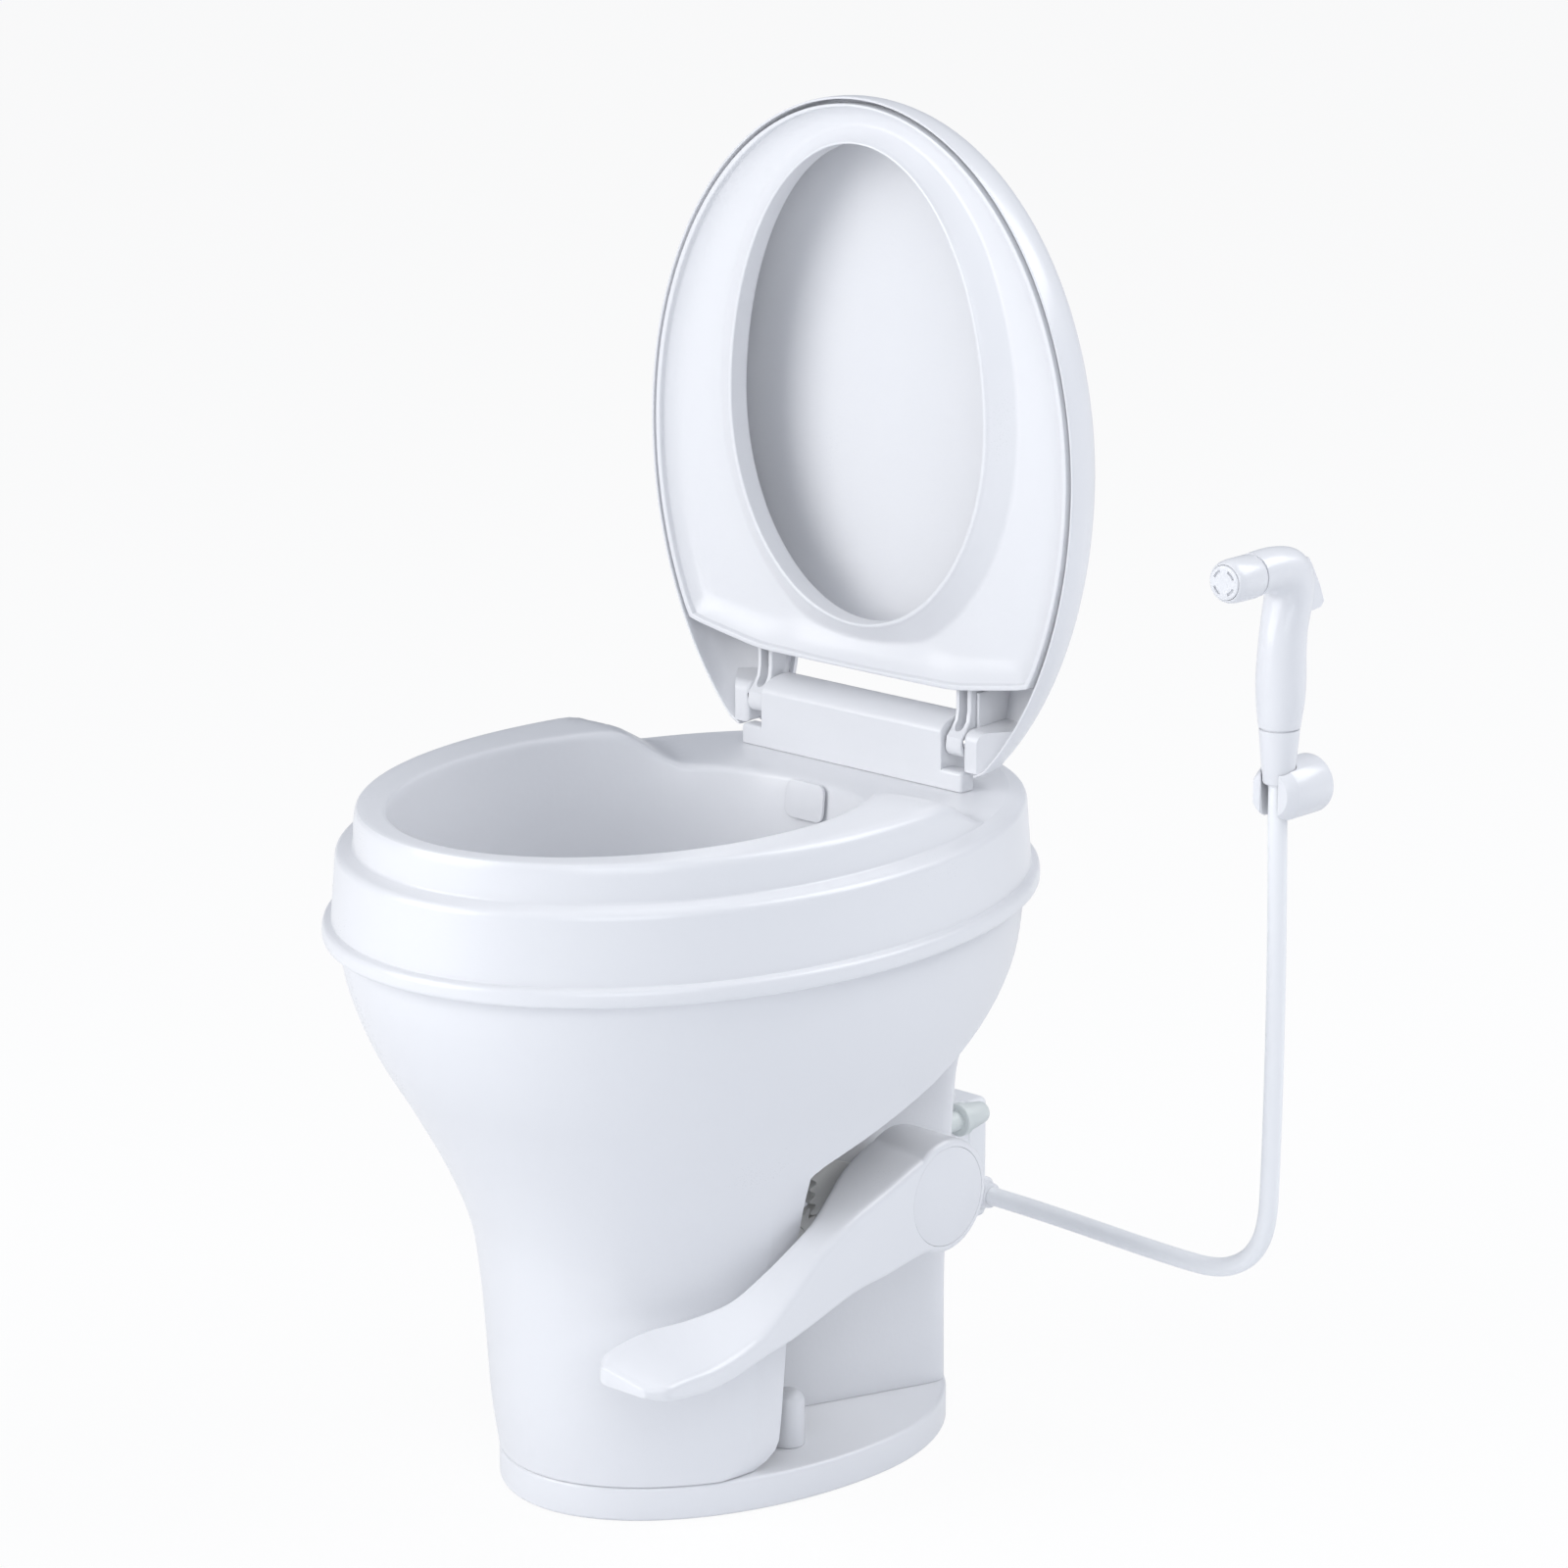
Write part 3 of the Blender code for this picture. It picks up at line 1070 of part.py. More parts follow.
def build_seat():
    """The seat: a hollow moulding with a beaded outer edge and a deep flange round its hole."""
    face = SEAT_FACE
    back = face + SEAT_THICK
    bead = SEAT_BEAD
    channel = face + SEAT_CHANNEL
    skin = SEAT_SKIN
    rim = FLANGE_WIDTH
    rings = [
        seat_ring(0, face + bead / 3, 0.0, 0.0),
        seat_ring(0, face, bead / 4, 0.0),
        seat_ring(0, face, bead * 3 / 4, 0.0),
        seat_ring(0, face + bead / 2, bead, 0.0),
        seat_ring(0, channel - skin / 2, bead + SEAT_SLOPE * 0.7, 0.0),
        seat_ring(0, channel, bead + SEAT_SLOPE, 0.0),
        seat_ring(1, channel, 0.0, rim + FLANGE_SLOPE * 1.3),
        seat_ring(1, channel - skin / 2, 0.0, rim + FLANGE_SLOPE * 0.8),
        seat_ring(1, face + rim / 3, 0.0, rim),
        seat_ring(1, face, 0.0, rim * 0.75),
        seat_ring(1, face, 0.0, rim / 4),
        seat_ring(1, face + rim / 3, 0.0, 0.0),
        seat_ring(1, back - skin, 0.0, 0.0),
        seat_ring(1, back, 0.0, skin),
        seat_ring(0, back, bead * 2, 0.0),
        seat_ring(0, back - skin, bead / 2, 0.0),
        seat_ring(0, back - skin * 2, 0.0, 0.0),
    ]
    seat = loft("seat", rings, WHITE, looped=True)
    for side, word in ((-1, "right"), (1, "left")):
        near = side * EAR_IN
        far = side * (EAR_IN + EAR_WIDTH)
        outline = []
        for step in range(9):
            angle = math.pi + math.pi * step / 8
            outline.append((HINGE_Y + EAR_RADIUS * math.cos(angle), HINGE_Z + EAR_RADIUS * math.sin(angle)))
        top = HINGE_Z + SEAT_EDGE + SEAT_BEAD * 2
        outline += [(HINGE_Y + EAR_RADIUS, top), (face + GAP, top), (face + GAP, HINGE_Z + EAR_RADIUS * 2),
                    (HINGE_Y - EAR_RADIUS, HINGE_Z + EAR_RADIUS)]
        join(seat, prism_x("ear_" + word, outline, min(near, far), max(near, far), None))
    reach = EAR_IN + EAR_WIDTH * 2
    cut(seat, rod("ear_bore", Vector((-reach, HINGE_Y, HINGE_Z)), Vector((reach, HINGE_Y, HINGE_Z)),
                  PIN_RADIUS + GAP, None, 16))


LID_SHARES = ((0.0, 0.0), (0.30, 0.006), (0.50, 0.026), (0.66, 0.060), (0.80, 0.12),
              (0.93, 0.27), (0.98, 0.50), (1.0, 0.97))


def lid_reach(angle):
    """Distance from the seat hole's middle to the lid's outline at an angle."""
    grow = LID_GAP + LID_WALL
    limits = [((-LID_POCKET_HALF * 2, LID_CUT), (LID_POCKET_HALF * 2, LID_CUT))]
    return reach_of(angle, SEAT_MID, SEAT_HALF + grow, SEAT_TOP + grow, LID_LOW + grow, limits)


def lid_ring(inset, shrink, depth):
    """A ring of the lid: its outline drawn in by an inset and then shrunk by a share."""
    ring = []
    for angle in SEAT_ANGLES:
        reach = (lid_reach(angle) - inset) * (1 - shrink)
        ring.append(raised(reach * math.cos(angle), SEAT_HOLE_MID + reach * math.sin(angle), depth))
    return ring


def lid_inner_depth(x, up, margin):
    """Depth of the lid's inner surface beside a round piece of radius margin."""
    angle = math.atan2(up - SEAT_HOLE_MID, x)
    distance = math.hypot(x, up - SEAT_HOLE_MID) + margin
    shrink = 1 - distance / (lid_reach(angle) - LID_WALL)
    place = read_table([(width, level) for level, width in LID_SHARES], shrink)
    return LID_FACE + (LID_DEPTH - LID_SKIN) * place


def build_lid():
    """The lid: a shallow dish whose skirt wraps the seat, notched below for the hinge block."""
    outer = []
    inner = []
    for place, shrink in LID_SHARES:
        outer.append(lid_ring(0.0, shrink, LID_FACE + LID_DEPTH * place))
        inner.append(lid_ring(LID_WALL, shrink, LID_FACE + (LID_DEPTH - LID_SKIN) * place))
    rings = outer + list(reversed(inner))
    count = len(SEAT_ANGLES)
    crown = len(outer) - 1
    points = [point for ring in rings for point in ring]
    faces = []
    for row in range(len(rings)):
        if row == crown:
            continue
        upper = (row + 1) % len(rings)
        for column in range(count):
            beside = (column + 1) % count
            faces.append((row * count + column, row * count + beside,
                          upper * count + beside, upper * count + column))
    faces.append(tuple(crown * count + column for column in range(count)))
    faces.append(tuple(reversed([(crown + 1) * count + column for column in range(count)])))
    if signed_volume(points, faces) < 0:
        faces = [tuple(reversed(face)) for face in faces]
    lid = add_mesh("lid", points, faces, WHITE)
    low = HINGE_Z + LID_CUT - OVERRUN
    cut(lid, block("lid_window", (-LID_WINDOW_HALF, LID_FACE - OVERRUN, low),
                   (LID_WINDOW_HALF, LID_FACE + LID_DEPTH + OVERRUN, HINGE_Z + LID_WINDOW), None))
    cut(lid, block("lid_pocket", (-LID_POCKET_HALF, LID_FACE - OVERRUN, low),
                   (LID_POCKET_HALF, LID_POCKET_DEPTH, HINGE_Z + SEAT_EDGE), None))
    for side, word in ((-1, "right"), (1, "left")):
        near = side * KNUCKLE_IN
        far = side * (KNUCKLE_IN + KNUCKLE_WIDTH)
        rings = []
        for x, size, lift in ((near, 1.0, 0.0), (far, KNUCKLE_TAPER, KNUCKLE_LIFT)):
            radius = KNUCKLE_RADIUS * size
            ring = []
            for step in range(11):
                angle = math.pi / 2 + math.pi * 4 / 3 * step / 10
                up = lift + radius * math.sin(angle)
                ring.append(Vector((x, HINGE_Y + radius * math.cos(angle), HINGE_Z + up)))
            ring.append(Vector((x, HINGE_Y + LID_DEPTH * 0.70, HINGE_Z + lift + radius)))
            rings.append(ring)
        join(lid, loft("knuckle_" + word, rings, None))
        start = Vector((side * (KNUCKLE_IN - OVERRUN), HINGE_Y, HINGE_Z))
        end = Vector((side * (KNUCKLE_IN + KNUCKLE_WIDTH - OVERRUN / 2), HINGE_Y, HINGE_Z))
        cut(lid, rod("knuckle_bore_" + word, start, end, PIN_RADIUS + GAP, None, 16))


def build_lid_bumpers():
    """Four rubber bumpers inside the lid that rest on the seat."""
    seat_back = SEAT_FACE + SEAT_THICK
    for side, word in ((-1, "right"), (1, "left")):
        for up, level in ((BUMPER_LOW, "low"), (BUMPER_HIGH, "high")):
            x = side * SEAT_HALF * BUMPER_SHARE
            start = raised(x, up, seat_back + GAP)
            end = raised(x, up, lid_inner_depth(x, up, BUMPER_RADIUS) - GAP)
            rod("lid_bumper_%s_%s" % (word, level), start, end, BUMPER_RADIUS, RUBBER, 12)


def build_hinge_block():
    """The block on the deck that carries both hinge pins, bolted down through the deck."""
    front, rear = BLOCK_FRONT_Y, BLOCK_REAR_Y
    low = DECK_Z + GAP
    high = DECK_Z + BLOCK_HEIGHT
    turn = BLOCK_ROUND
    outline = [(front, low), (rear, low), (rear, high - turn / 4), (rear - turn / 4, high)]
    for step in range(6):
        angle = math.pi / 2 * (1 + step / 5)
        outline.append((front + turn + turn * math.cos(angle), high - turn + turn * math.sin(angle)))
    body = prism_x("hinge_block", outline, -BLOCK_HALF, BLOCK_HALF, WHITE)
    tab = [(front, low), (rear, low), (rear, low + TAB_HEIGHT), (front, low + TAB_HEIGHT)]
    join(body, prism_x("hinge_tabs", tab, -TAB_HALF, TAB_HALF, None))
    for side, word in ((-1, "right"), (1, "left")):
        start = Vector((side * (BLOCK_HALF - PIN_RADIUS * 4), HINGE_Y, HINGE_Z))
        end = Vector((side * (BLOCK_HALF + OVERRUN), HINGE_Y, HINGE_Z))
        cut(body, rod("pin_bore_" + word, start, end, PIN_RADIUS + GAP, None, 16))
        pin_start = start + Vector((side * GAP, 0, 0))
        pin_end = Vector((side * (KNUCKLE_IN + KNUCKLE_WIDTH - OVERRUN), HINGE_Y, HINGE_Z))
        rod("hinge_pin_" + word, pin_start, pin_end, PIN_RADIUS, STEEL, 16)
        foot = Vector((side * STUD_X, 0, DECK_Z))
        up = Vector((0, 0, 1))
        cut(body, rod("stud_bore_" + word, foot - up * OVERRUN, foot + up * (STUD_LENGTH / 3 + GAP),
                      STUD_RADIUS + GAP, None, 12))
        rod("hinge_stud_" + word, foot + up * (STUD_LENGTH / 3), foot - up * (STUD_LENGTH * 2 / 3),
            STUD_RADIUS, STEEL, 12)
        seat = foot - up * (RING_WALL + GAP)
        nut("hinge_nut_" + word, seat, seat - up * NUT_HEIGHT, NUT_RADIUS * 1.2, STUD_RADIUS + GAP, NYLON)


HOSE_ROUTE = [Vector(place) for place in (
    (0.0560, 0.062, 0.1245), (0.0760, 0.062, 0.1243), (0.1000, 0.062, 0.1238), (0.1300, 0.062, 0.1228),
    (0.1600, 0.062, 0.1216), (0.1900, 0.062, 0.1205), (0.2180, 0.062, 0.1200), (0.2380, 0.062, 0.1208),
    (0.2540, 0.062, 0.1252), (0.2680, 0.062, 0.1345), (0.2775, 0.062, 0.1485), (0.2818, 0.062, 0.1660),
    (0.2830, 0.062, 0.1900), (0.2838, 0.062, 0.2300), (0.2842, 0.062, 0.2800), (0.2840, 0.062, 0.3300),
    (0.2832, 0.062, 0.3800), (0.2822, 0.062, 0.4200), (0.2820, 0.062, 0.4432))]


def build_hose():
    """The sprayer's hose, from the valve's nut along the floor side and up to the sprayer's cone nut."""
    swept_tube("spray_hose", smooth_path(HOSE_ROUTE, 36), HOSE_RADIUS, SOFT_WHITE, 2)


def build_sprayer():
    """The sprayer: cone nut, grip that bends over into the head, collar and slotted face."""
    x, y = SPRAY_X, SPRAY_Y
    low = Vector((x, y, CONE_LOW))
    high = Vector((x, y, CONE_HIGH))
    length = CONE_HIGH - CONE_LOW
    turned("cone_nut", low, high, [(0, CONE_LOW_RADIUS - HOSE_RADIUS / 6), (HOSE_RADIUS / 6, CONE_LOW_RADIUS),
                                   (length, CONE_HIGH_RADIUS)], WHITE, 20)
    grip = HEAD_Z - CONE_HIGH
    back = HEAD_RADIUS
    bend = SPRAY_Y - COLLAR_Y
    path_shares = ((0.00, 0.00, 0.0, 0.75), (0.07, 0.00, 0.0, 0.86), (0.17, -0.02, 0.0, 0.97),
                   (0.30, -0.02, 0.0, 1.0), (0.46, -0.03, 2.0, 0.96), (0.60, -0.06, 8.0, 0.93),
                   (0.73, -0.14, 18.0, 0.95), (0.86, -0.18, 34.0, 0.98), (0.955, -0.02, 56.0, 0.97),
                   (1.0, 0.34, 76.0, 0.91), (1.005, 0.70, 88.0, 0.87), (1.0, 1.0, 90.0, 0.86))
    rings = []
    for height, forward, lean, width in path_shares:
        angle = math.radians(lean)
        centre = Vector((x, y - bend * forward, CONE_HIGH + GAP + grip * height))
        ahead = Vector((0, math.cos(angle), math.sin(angle)))
        rings.append(circle(centre, Vector((1, 0, 0)), ahead, GRIP_RADIUS * width, 20))
    handle = loft("spray_handle", rings, WHITE)
    pocket = (x - TRIGGER_HALF - GAP, y + TRIGGER_DEPTH, TRIGGER_LOW)
    cut(handle, block("trigger_pocket", pocket, (x + TRIGGER_HALF + GAP, y + back * 3, TRIGGER_TOP + GAP), None))
    pivot = TRIGGER_PIVOT
    side = Vector((1, 0, 0))
    cut(handle, rod("trigger_pin_bore", pivot - side * back * 2, pivot + side * back * 2, TRIGGER_PIN + GAP, None, 12))
    pin_half = TRIGGER_HALF + TRIGGER_THICK * 0.6
    rod("trigger_pin", pivot - side * pin_half, pivot + side * pin_half, TRIGGER_PIN, STEEL, 12)
    start = Vector((x, COLLAR_Y - GAP, HEAD_Z))
    end = Vector((x, COLLAR_Y - COLLAR_LENGTH, HEAD_Z))
    length = COLLAR_LENGTH - GAP
    collar = turned("spray_collar", start, end, [(0, COLLAR_RADIUS * 0.96), (length * 0.10, COLLAR_RADIUS),
                                                 (length * 0.72, COLLAR_RADIUS * 0.99),
                                                 (length * 0.93, COLLAR_RADIUS * 0.90),
                                                 (length, COLLAR_RADIUS * 0.84)], WHITE, 20)
    cut(collar, rod("face_bore", end + Vector((0, FACE_OUT * 2, 0)), end - Vector((0, OVERRUN, 0)),
                    FACE_RADIUS + GAP, None, 20))
    face_start = end + Vector((0, FACE_OUT * 2 - GAP, 0))
    face = rod("spray_face", face_start, end - Vector((0, FACE_OUT / 2, 0)), FACE_RADIUS, WHITE, 20, FACE_OUT / 4)
    for quarter in range(4):
        cut(face, face_slot("face_slot_%d" % quarter, quarter, end))
    build_trigger(pivot)


def face_slot(name, quarter, end):
    """One of the four short curved slots round the middle of the spray face."""
    rings = []
    middle = math.pi / 2 * quarter + math.pi / 4
    for y in (end.y - OVERRUN, end.y + FACE_OUT / 2):
        ring = []
        for radius, steps in ((FACE_RADIUS * 0.62, range(3)), (FACE_RADIUS * 0.78, range(2, -1, -1))):
            for step in steps:
                angle = middle + math.radians(22) * (step - 1)
                ring.append(Vector((end.x + radius * math.cos(angle), y, end.z + radius * math.sin(angle))))
        rings.append(ring)
    return loft(name, rings, None)


def build_trigger(pivot):
    """The thumb lever in the back of the sprayer's head, on its pin, clear of the pocket's floor to swing."""
    x, y = SPRAY_X, SPRAY_Y
    thick = TRIGGER_THICK
    floor = y + TRIGGER_DEPTH + GAP
    high = TRIGGER_TOP
    low = TRIGGER_LOW + GAP
    outline = [(floor, high - thick * 0.6), (floor + thick * 0.05, pivot.z - thick * 0.2),
               (floor + thick * 0.8, low + thick), (floor + thick * 1.3, low),
               (y + HEAD_RADIUS * 1.95, low + thick / 3), (y + HEAD_RADIUS * 2.15, low + thick),
               (y + HEAD_RADIUS * 1.85, between(low, high, 0.45)), (y + HEAD_RADIUS * 1.3, high - thick),
               (y + HEAD_RADIUS * 1.05, high)]
    lever = prism_x("spray_trigger", outline, x - TRIGGER_HALF, x + TRIGGER_HALF, WHITE)
    side = Vector((TRIGGER_HALF * 2, 0, 0))
    cut(lever, rod("trigger_bore", pivot - side, pivot + side, TRIGGER_PIN + GAP, None, 12))


def build_clip():
    """The wall clip: a round post with an upright tapered hole, slotted open to the front."""
    x = SPRAY_X
    front = SPRAY_Y - CLIP_FRONT
    back = SPRAY_Y + CLIP_BACK
    length = back - front
    nose = CLIP_FRONT * 0.8
    clip = turned("wall_clip", Vector((x, front, CLIP_Z)), Vector((x, back, CLIP_Z)),
                  [(0, CLIP_NOSE), (nose, CLIP_RADIUS), (length - nose / 3, CLIP_RADIUS),
                   (length, CLIP_RADIUS - nose / 3)], WHITE, 24)
    slope = (CONE_HIGH_RADIUS - CONE_LOW_RADIUS) / (CONE_HIGH - CONE_LOW)
    reach = CLIP_RADIUS + OVERRUN
    low_radius = CONE_LOW_RADIUS + GAP * 2 + slope * (CLIP_Z - reach - CONE_LOW)
    high_radius = CONE_LOW_RADIUS + GAP * 2 + slope * (CLIP_Z + reach - CONE_LOW)
    cut(clip, turned("cone_hole", Vector((x, SPRAY_Y, CLIP_Z - reach)), Vector((x, SPRAY_Y, CLIP_Z + reach)),
                     [(0, low_radius), (reach * 2, high_radius)], None, 20))
    cut(clip, block("clip_slot", (x - CLIP_SLOT / 2, front - OVERRUN, CLIP_Z - reach),
                    (x + CLIP_SLOT / 2, SPRAY_Y, CLIP_Z + reach), None))
    screw_z = CLIP_Z
    start = Vector((x, SPRAY_Y + high_radius + CLIP_SCREW * 2, screw_z))
    cut(clip, rod("screw_bore", Vector((x, SPRAY_Y, screw_z)), Vector((x, back + OVERRUN, screw_z)),
                  CLIP_SCREW / 2 + GAP, None, 12))
    cut(clip, rod("screw_sink", Vector((x, SPRAY_Y, screw_z)), start, CLIP_SCREW + GAP, None, 16))
    turned("clip_screw", start - Vector((0, CLIP_SCREW, 0)) - Vector((0, GAP, 0)), Vector((x, back, screw_z)),
           [(0, CLIP_SCREW), (CLIP_SCREW * 0.9, CLIP_SCREW), (CLIP_SCREW, CLIP_SCREW / 2),
            (back - GAP - start.y + CLIP_SCREW, CLIP_SCREW / 2)], STEEL, 12)


def put_origin(names, pivot):
    """Move the origin of some pieces to a point of their joint's axis, without moving the pieces."""
    for name in names:
        piece = bpy.data.objects[name]
        piece.data.transform(Matrix.Translation(-pivot))
        piece.location = pivot


def put_origins():
    """Each moving piece turns or slides about its own origin."""
    hinge = Vector((0, HINGE_Y, HINGE_Z))
    bumpers = ["lid_bumper_%s_%s" % (side, level) for side in ("left", "right") for level in ("low", "high")]
    put_origin(["seat", "lid", "hinge_pin_left", "hinge_pin_right"] + bumpers, hinge)
    put_origin(["pedal", "pedal_cap", "pedal_shaft", "sector_gear", "valve_cam"], Vector((0, PEDAL_Y, PEDAL_Z)))
    put_origin(["flush_ball", "ball_pinion"], Vector((0, DRAIN_Y, BALL_Z)))
    put_origin(["valve_rod"], Vector((CAM_X, PEDAL_Y, PEDAL_Z - CAM_LEVER)))
    put_origin(["cone_nut", "spray_handle", "spray_collar", "spray_face", "trigger_pin"],
               Vector((SPRAY_X, SPRAY_Y, CONE_LOW)))
    put_origin(["spray_trigger"], TRIGGER_PIVOT)


def build_all():
    """Every piece, from the floor up."""
    for stale in list(bpy.data.objects):
        bpy.data.objects.remove(stale, do_unlink=True)
    build_foot()
    build_floor_seal()
    build_floor_bolts()
    build_column()
    build_drain()
    build_ball()
    build_bowl()
    build_rim_ring()
    build_front_shell()
    build_gears()
    build_pedal()
    build_shaft_bracket()
    build_return_spring()
    build_cam()
    build_water_valve()
    build_inlet()
    build_flush_line()
    build_nozzle()
    build_hinge_block()
    build_seat()
    build_lid()
    build_lid_bumpers()
    build_hose()
    build_sprayer()
    build_clip()
    put_origins()


build_all()
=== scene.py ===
# A camper toilet with a foot pedal, its seat and lid raised, and a hand sprayer in its wall clip.
# Each section below makes one piece, or one group of like pieces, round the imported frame.
import json
import math

import bmesh
import bpy
import numpy as np
from mathutils import Matrix, Vector


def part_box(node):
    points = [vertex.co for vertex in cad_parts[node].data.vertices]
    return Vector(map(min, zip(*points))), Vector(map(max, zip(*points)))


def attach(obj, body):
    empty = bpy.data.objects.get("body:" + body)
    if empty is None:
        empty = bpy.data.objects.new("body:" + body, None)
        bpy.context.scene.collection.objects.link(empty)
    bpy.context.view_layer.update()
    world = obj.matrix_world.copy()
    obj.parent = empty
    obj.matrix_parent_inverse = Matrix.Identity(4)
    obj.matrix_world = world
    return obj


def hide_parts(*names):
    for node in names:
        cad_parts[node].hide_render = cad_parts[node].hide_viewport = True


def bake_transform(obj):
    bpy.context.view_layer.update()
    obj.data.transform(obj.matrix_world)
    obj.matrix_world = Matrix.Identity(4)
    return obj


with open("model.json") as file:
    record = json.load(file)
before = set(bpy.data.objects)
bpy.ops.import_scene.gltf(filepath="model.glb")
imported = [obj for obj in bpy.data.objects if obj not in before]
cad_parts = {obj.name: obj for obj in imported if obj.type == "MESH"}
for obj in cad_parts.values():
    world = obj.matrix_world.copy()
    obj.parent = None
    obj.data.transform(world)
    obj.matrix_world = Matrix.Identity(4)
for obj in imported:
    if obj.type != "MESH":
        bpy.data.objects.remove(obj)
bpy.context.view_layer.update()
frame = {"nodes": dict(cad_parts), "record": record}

# Camera. It stands to the front and right of the toilet, a little above the deck,
# at the photograph's angle, with a long lens.
bpy.ops.object.select_all(action='DESELECT')
eye = Vector((2.2756, -2.5279, 1.3102))
aim = Vector((0.1480, -0.2361, 0.4769))
bpy.ops.object.camera_add(location=eye, rotation=(aim - eye).to_track_quat('-Z', 'Y').to_euler())
camera = bpy.context.object
camera.data.sensor_width = 36.0
camera.data.lens = 126.93
bpy.context.scene.camera = camera
bpy.context.scene.view_settings.view_transform = 'Standard'


# White plastic. Every moulding of the toilet is injected or blown in the same white plastic: a cool white
# with a satin gloss, a faint orange peel from the mould, and clouds of slightly duller skin.
class Link:
    """One output of a material's nodes. A sum on it adds the Math node that it needs."""

    def __init__(self, tree, socket):
        self.tree = tree
        self.socket = socket

    def node(self, kind, values, settings=None, output=0):
        """Add a node of any kind: its settings first, then the values or links of its sockets."""
        made = self.tree.nodes.new(kind)
        for name, value in (settings or {}).items():
            setattr(made, name, value)
        for name, value in values.items():
            if isinstance(value, Link):
                self.tree.links.new(value.socket, made.inputs[name])
            else:
                made.inputs[name].default_value = value
        return Link(self.tree, made.outputs[output])

    def maths(self, operation, first, second):
        return self.node("ShaderNodeMath", {0: first, 1: second}, {"operation": operation})

    def __add__(self, other):
        return self.maths('ADD', self, other)

    __radd__ = __add__

    def __mul__(self, other):
        return self.maths('MULTIPLY', self, other)

    __rmul__ = __mul__

    def __sub__(self, other):
        return self.maths('SUBTRACT', self, other)

    def __rsub__(self, other):
        return self.maths('SUBTRACT', other, self)

    def feed(self, shader, name):
        self.tree.links.new(self.socket, shader.inputs[name])


def new_finish(name):
    """A material with its shader and the place on the piece that its patterns start from."""
    material = bpy.data.materials.new(name)
    material.use_nodes = True
    tree = material.node_tree
    spot = tree.nodes.new("ShaderNodeTexCoord")
    return material, tree.nodes["Principled BSDF"], Link(tree, spot.outputs["Object"])


def moulded(name, colour, dull_colour, gloss, peel_scale, peel_depth, coat=0.0):
    """Moulded plastic: clouded colour, uneven gloss and a fine peel with tiny flecks."""
    material, shader, spot = new_finish(name)
    cloud = spot.node("ShaderNodeTexNoise", {"Vector": spot, "Scale": 7.0, "Detail": 3.0,
                                             "Roughness": 0.55})
    peel = spot.node("ShaderNodeTexNoise", {"Vector": spot, "Scale": peel_scale, "Detail": 2.0})
    fleck = spot.node("ShaderNodeTexNoise", {"Vector": spot, "Scale": peel_scale * 4.0, "Detail": 1.0})
    spot.node("ShaderNodeMix", {0: cloud, 6: (*colour, 1.0), 7: (*dull_colour, 1.0)},
              {"data_type": 'RGBA'}, 2).feed(shader, "Base Color")
    (cloud * 0.10 + fleck * 0.05 + (gloss - 0.075)).feed(shader, "Roughness")
    spot.node("ShaderNodeBump", {"Height": peel + fleck * 0.4, "Strength": 0.12,
                                 "Distance": peel_depth}).feed(shader, "Normal")
    shader.inputs["Coat Weight"].default_value = coat
    shader.inputs["Coat Roughness"].default_value = 0.12
    return material


white = moulded("white_plastic", (0.806, 0.811, 0.832), (0.786, 0.792, 0.815), 0.30, 260.0, 0.0006, 0.25)


# Hose. A white vinyl hose runs from the valve's nut along behind the column, turns up in one wide bend
# and climbs to the sprayer.
HOSE_RADIUS, HOSE_SIDES = 0.006, 32
HOSE_ROUTE = [Vector(place) for place in (
    (0.0560, 0.062, 0.1245), (0.0760, 0.062, 0.1243), (0.1000, 0.062, 0.1238), (0.1300, 0.062, 0.1228),
    (0.1600, 0.062, 0.1216), (0.1900, 0.062, 0.1205), (0.2180, 0.062, 0.1200), (0.2380, 0.062, 0.1208),
    (0.2540, 0.062, 0.1252), (0.2680, 0.062, 0.1345), (0.2775, 0.062, 0.1485), (0.2818, 0.062, 0.1660),
    (0.2830, 0.062, 0.1900), (0.2838, 0.062, 0.2300), (0.2842, 0.062, 0.2800), (0.2840, 0.062, 0.3300),
    (0.2832, 0.062, 0.3800), (0.2822, 0.062, 0.4200), (0.2820, 0.062, 0.4432))]


def smooth_line(points, steps):
    """Points on a smooth curve that passes through the given ones."""
    line = []
    ends = [points[0] * 2 - points[1]] + list(points) + [points[-1] * 2 - points[-2]]
    for before, start, end, after in zip(ends, ends[1:], ends[2:], ends[3:]):
        for step in range(steps):
            t = step / steps
            line.append(0.5 * (start * 2 + (end - before) * t
                               + (before * 2 - start * 5 + end * 4 - after) * t ** 2
                               + (start * 3 - before - end * 3 + after) * t ** 3))
    line.append(points[-1])
    return line


def settle(piece, nodes, body="root", finish=white, sharp=0):
    """Finish a piece: its shading, its material and its body, in place of the solids that it stands for."""
    if sharp:
        bpy.ops.object.shade_smooth_by_angle(angle=math.radians(sharp))
    piece.data.materials.clear()
    piece.data.materials.append(finish)
    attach(piece, body)
    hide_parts(*nodes)


def grid(name, rows):
    """A grid with its points at the given places, row by row."""
    bpy.ops.object.select_all(action='DESELECT')
    bpy.ops.mesh.primitive_grid_add(x_subdivisions=len(rows[0]) - 1, y_subdivisions=len(rows) - 1, size=1)
    piece = bpy.context.object
    piece.name = name
    places = np.array([[*point] for row in rows for point in row], dtype=np.float32)
    piece.data.vertices.foreach_set("co", places.ravel())
    return piece


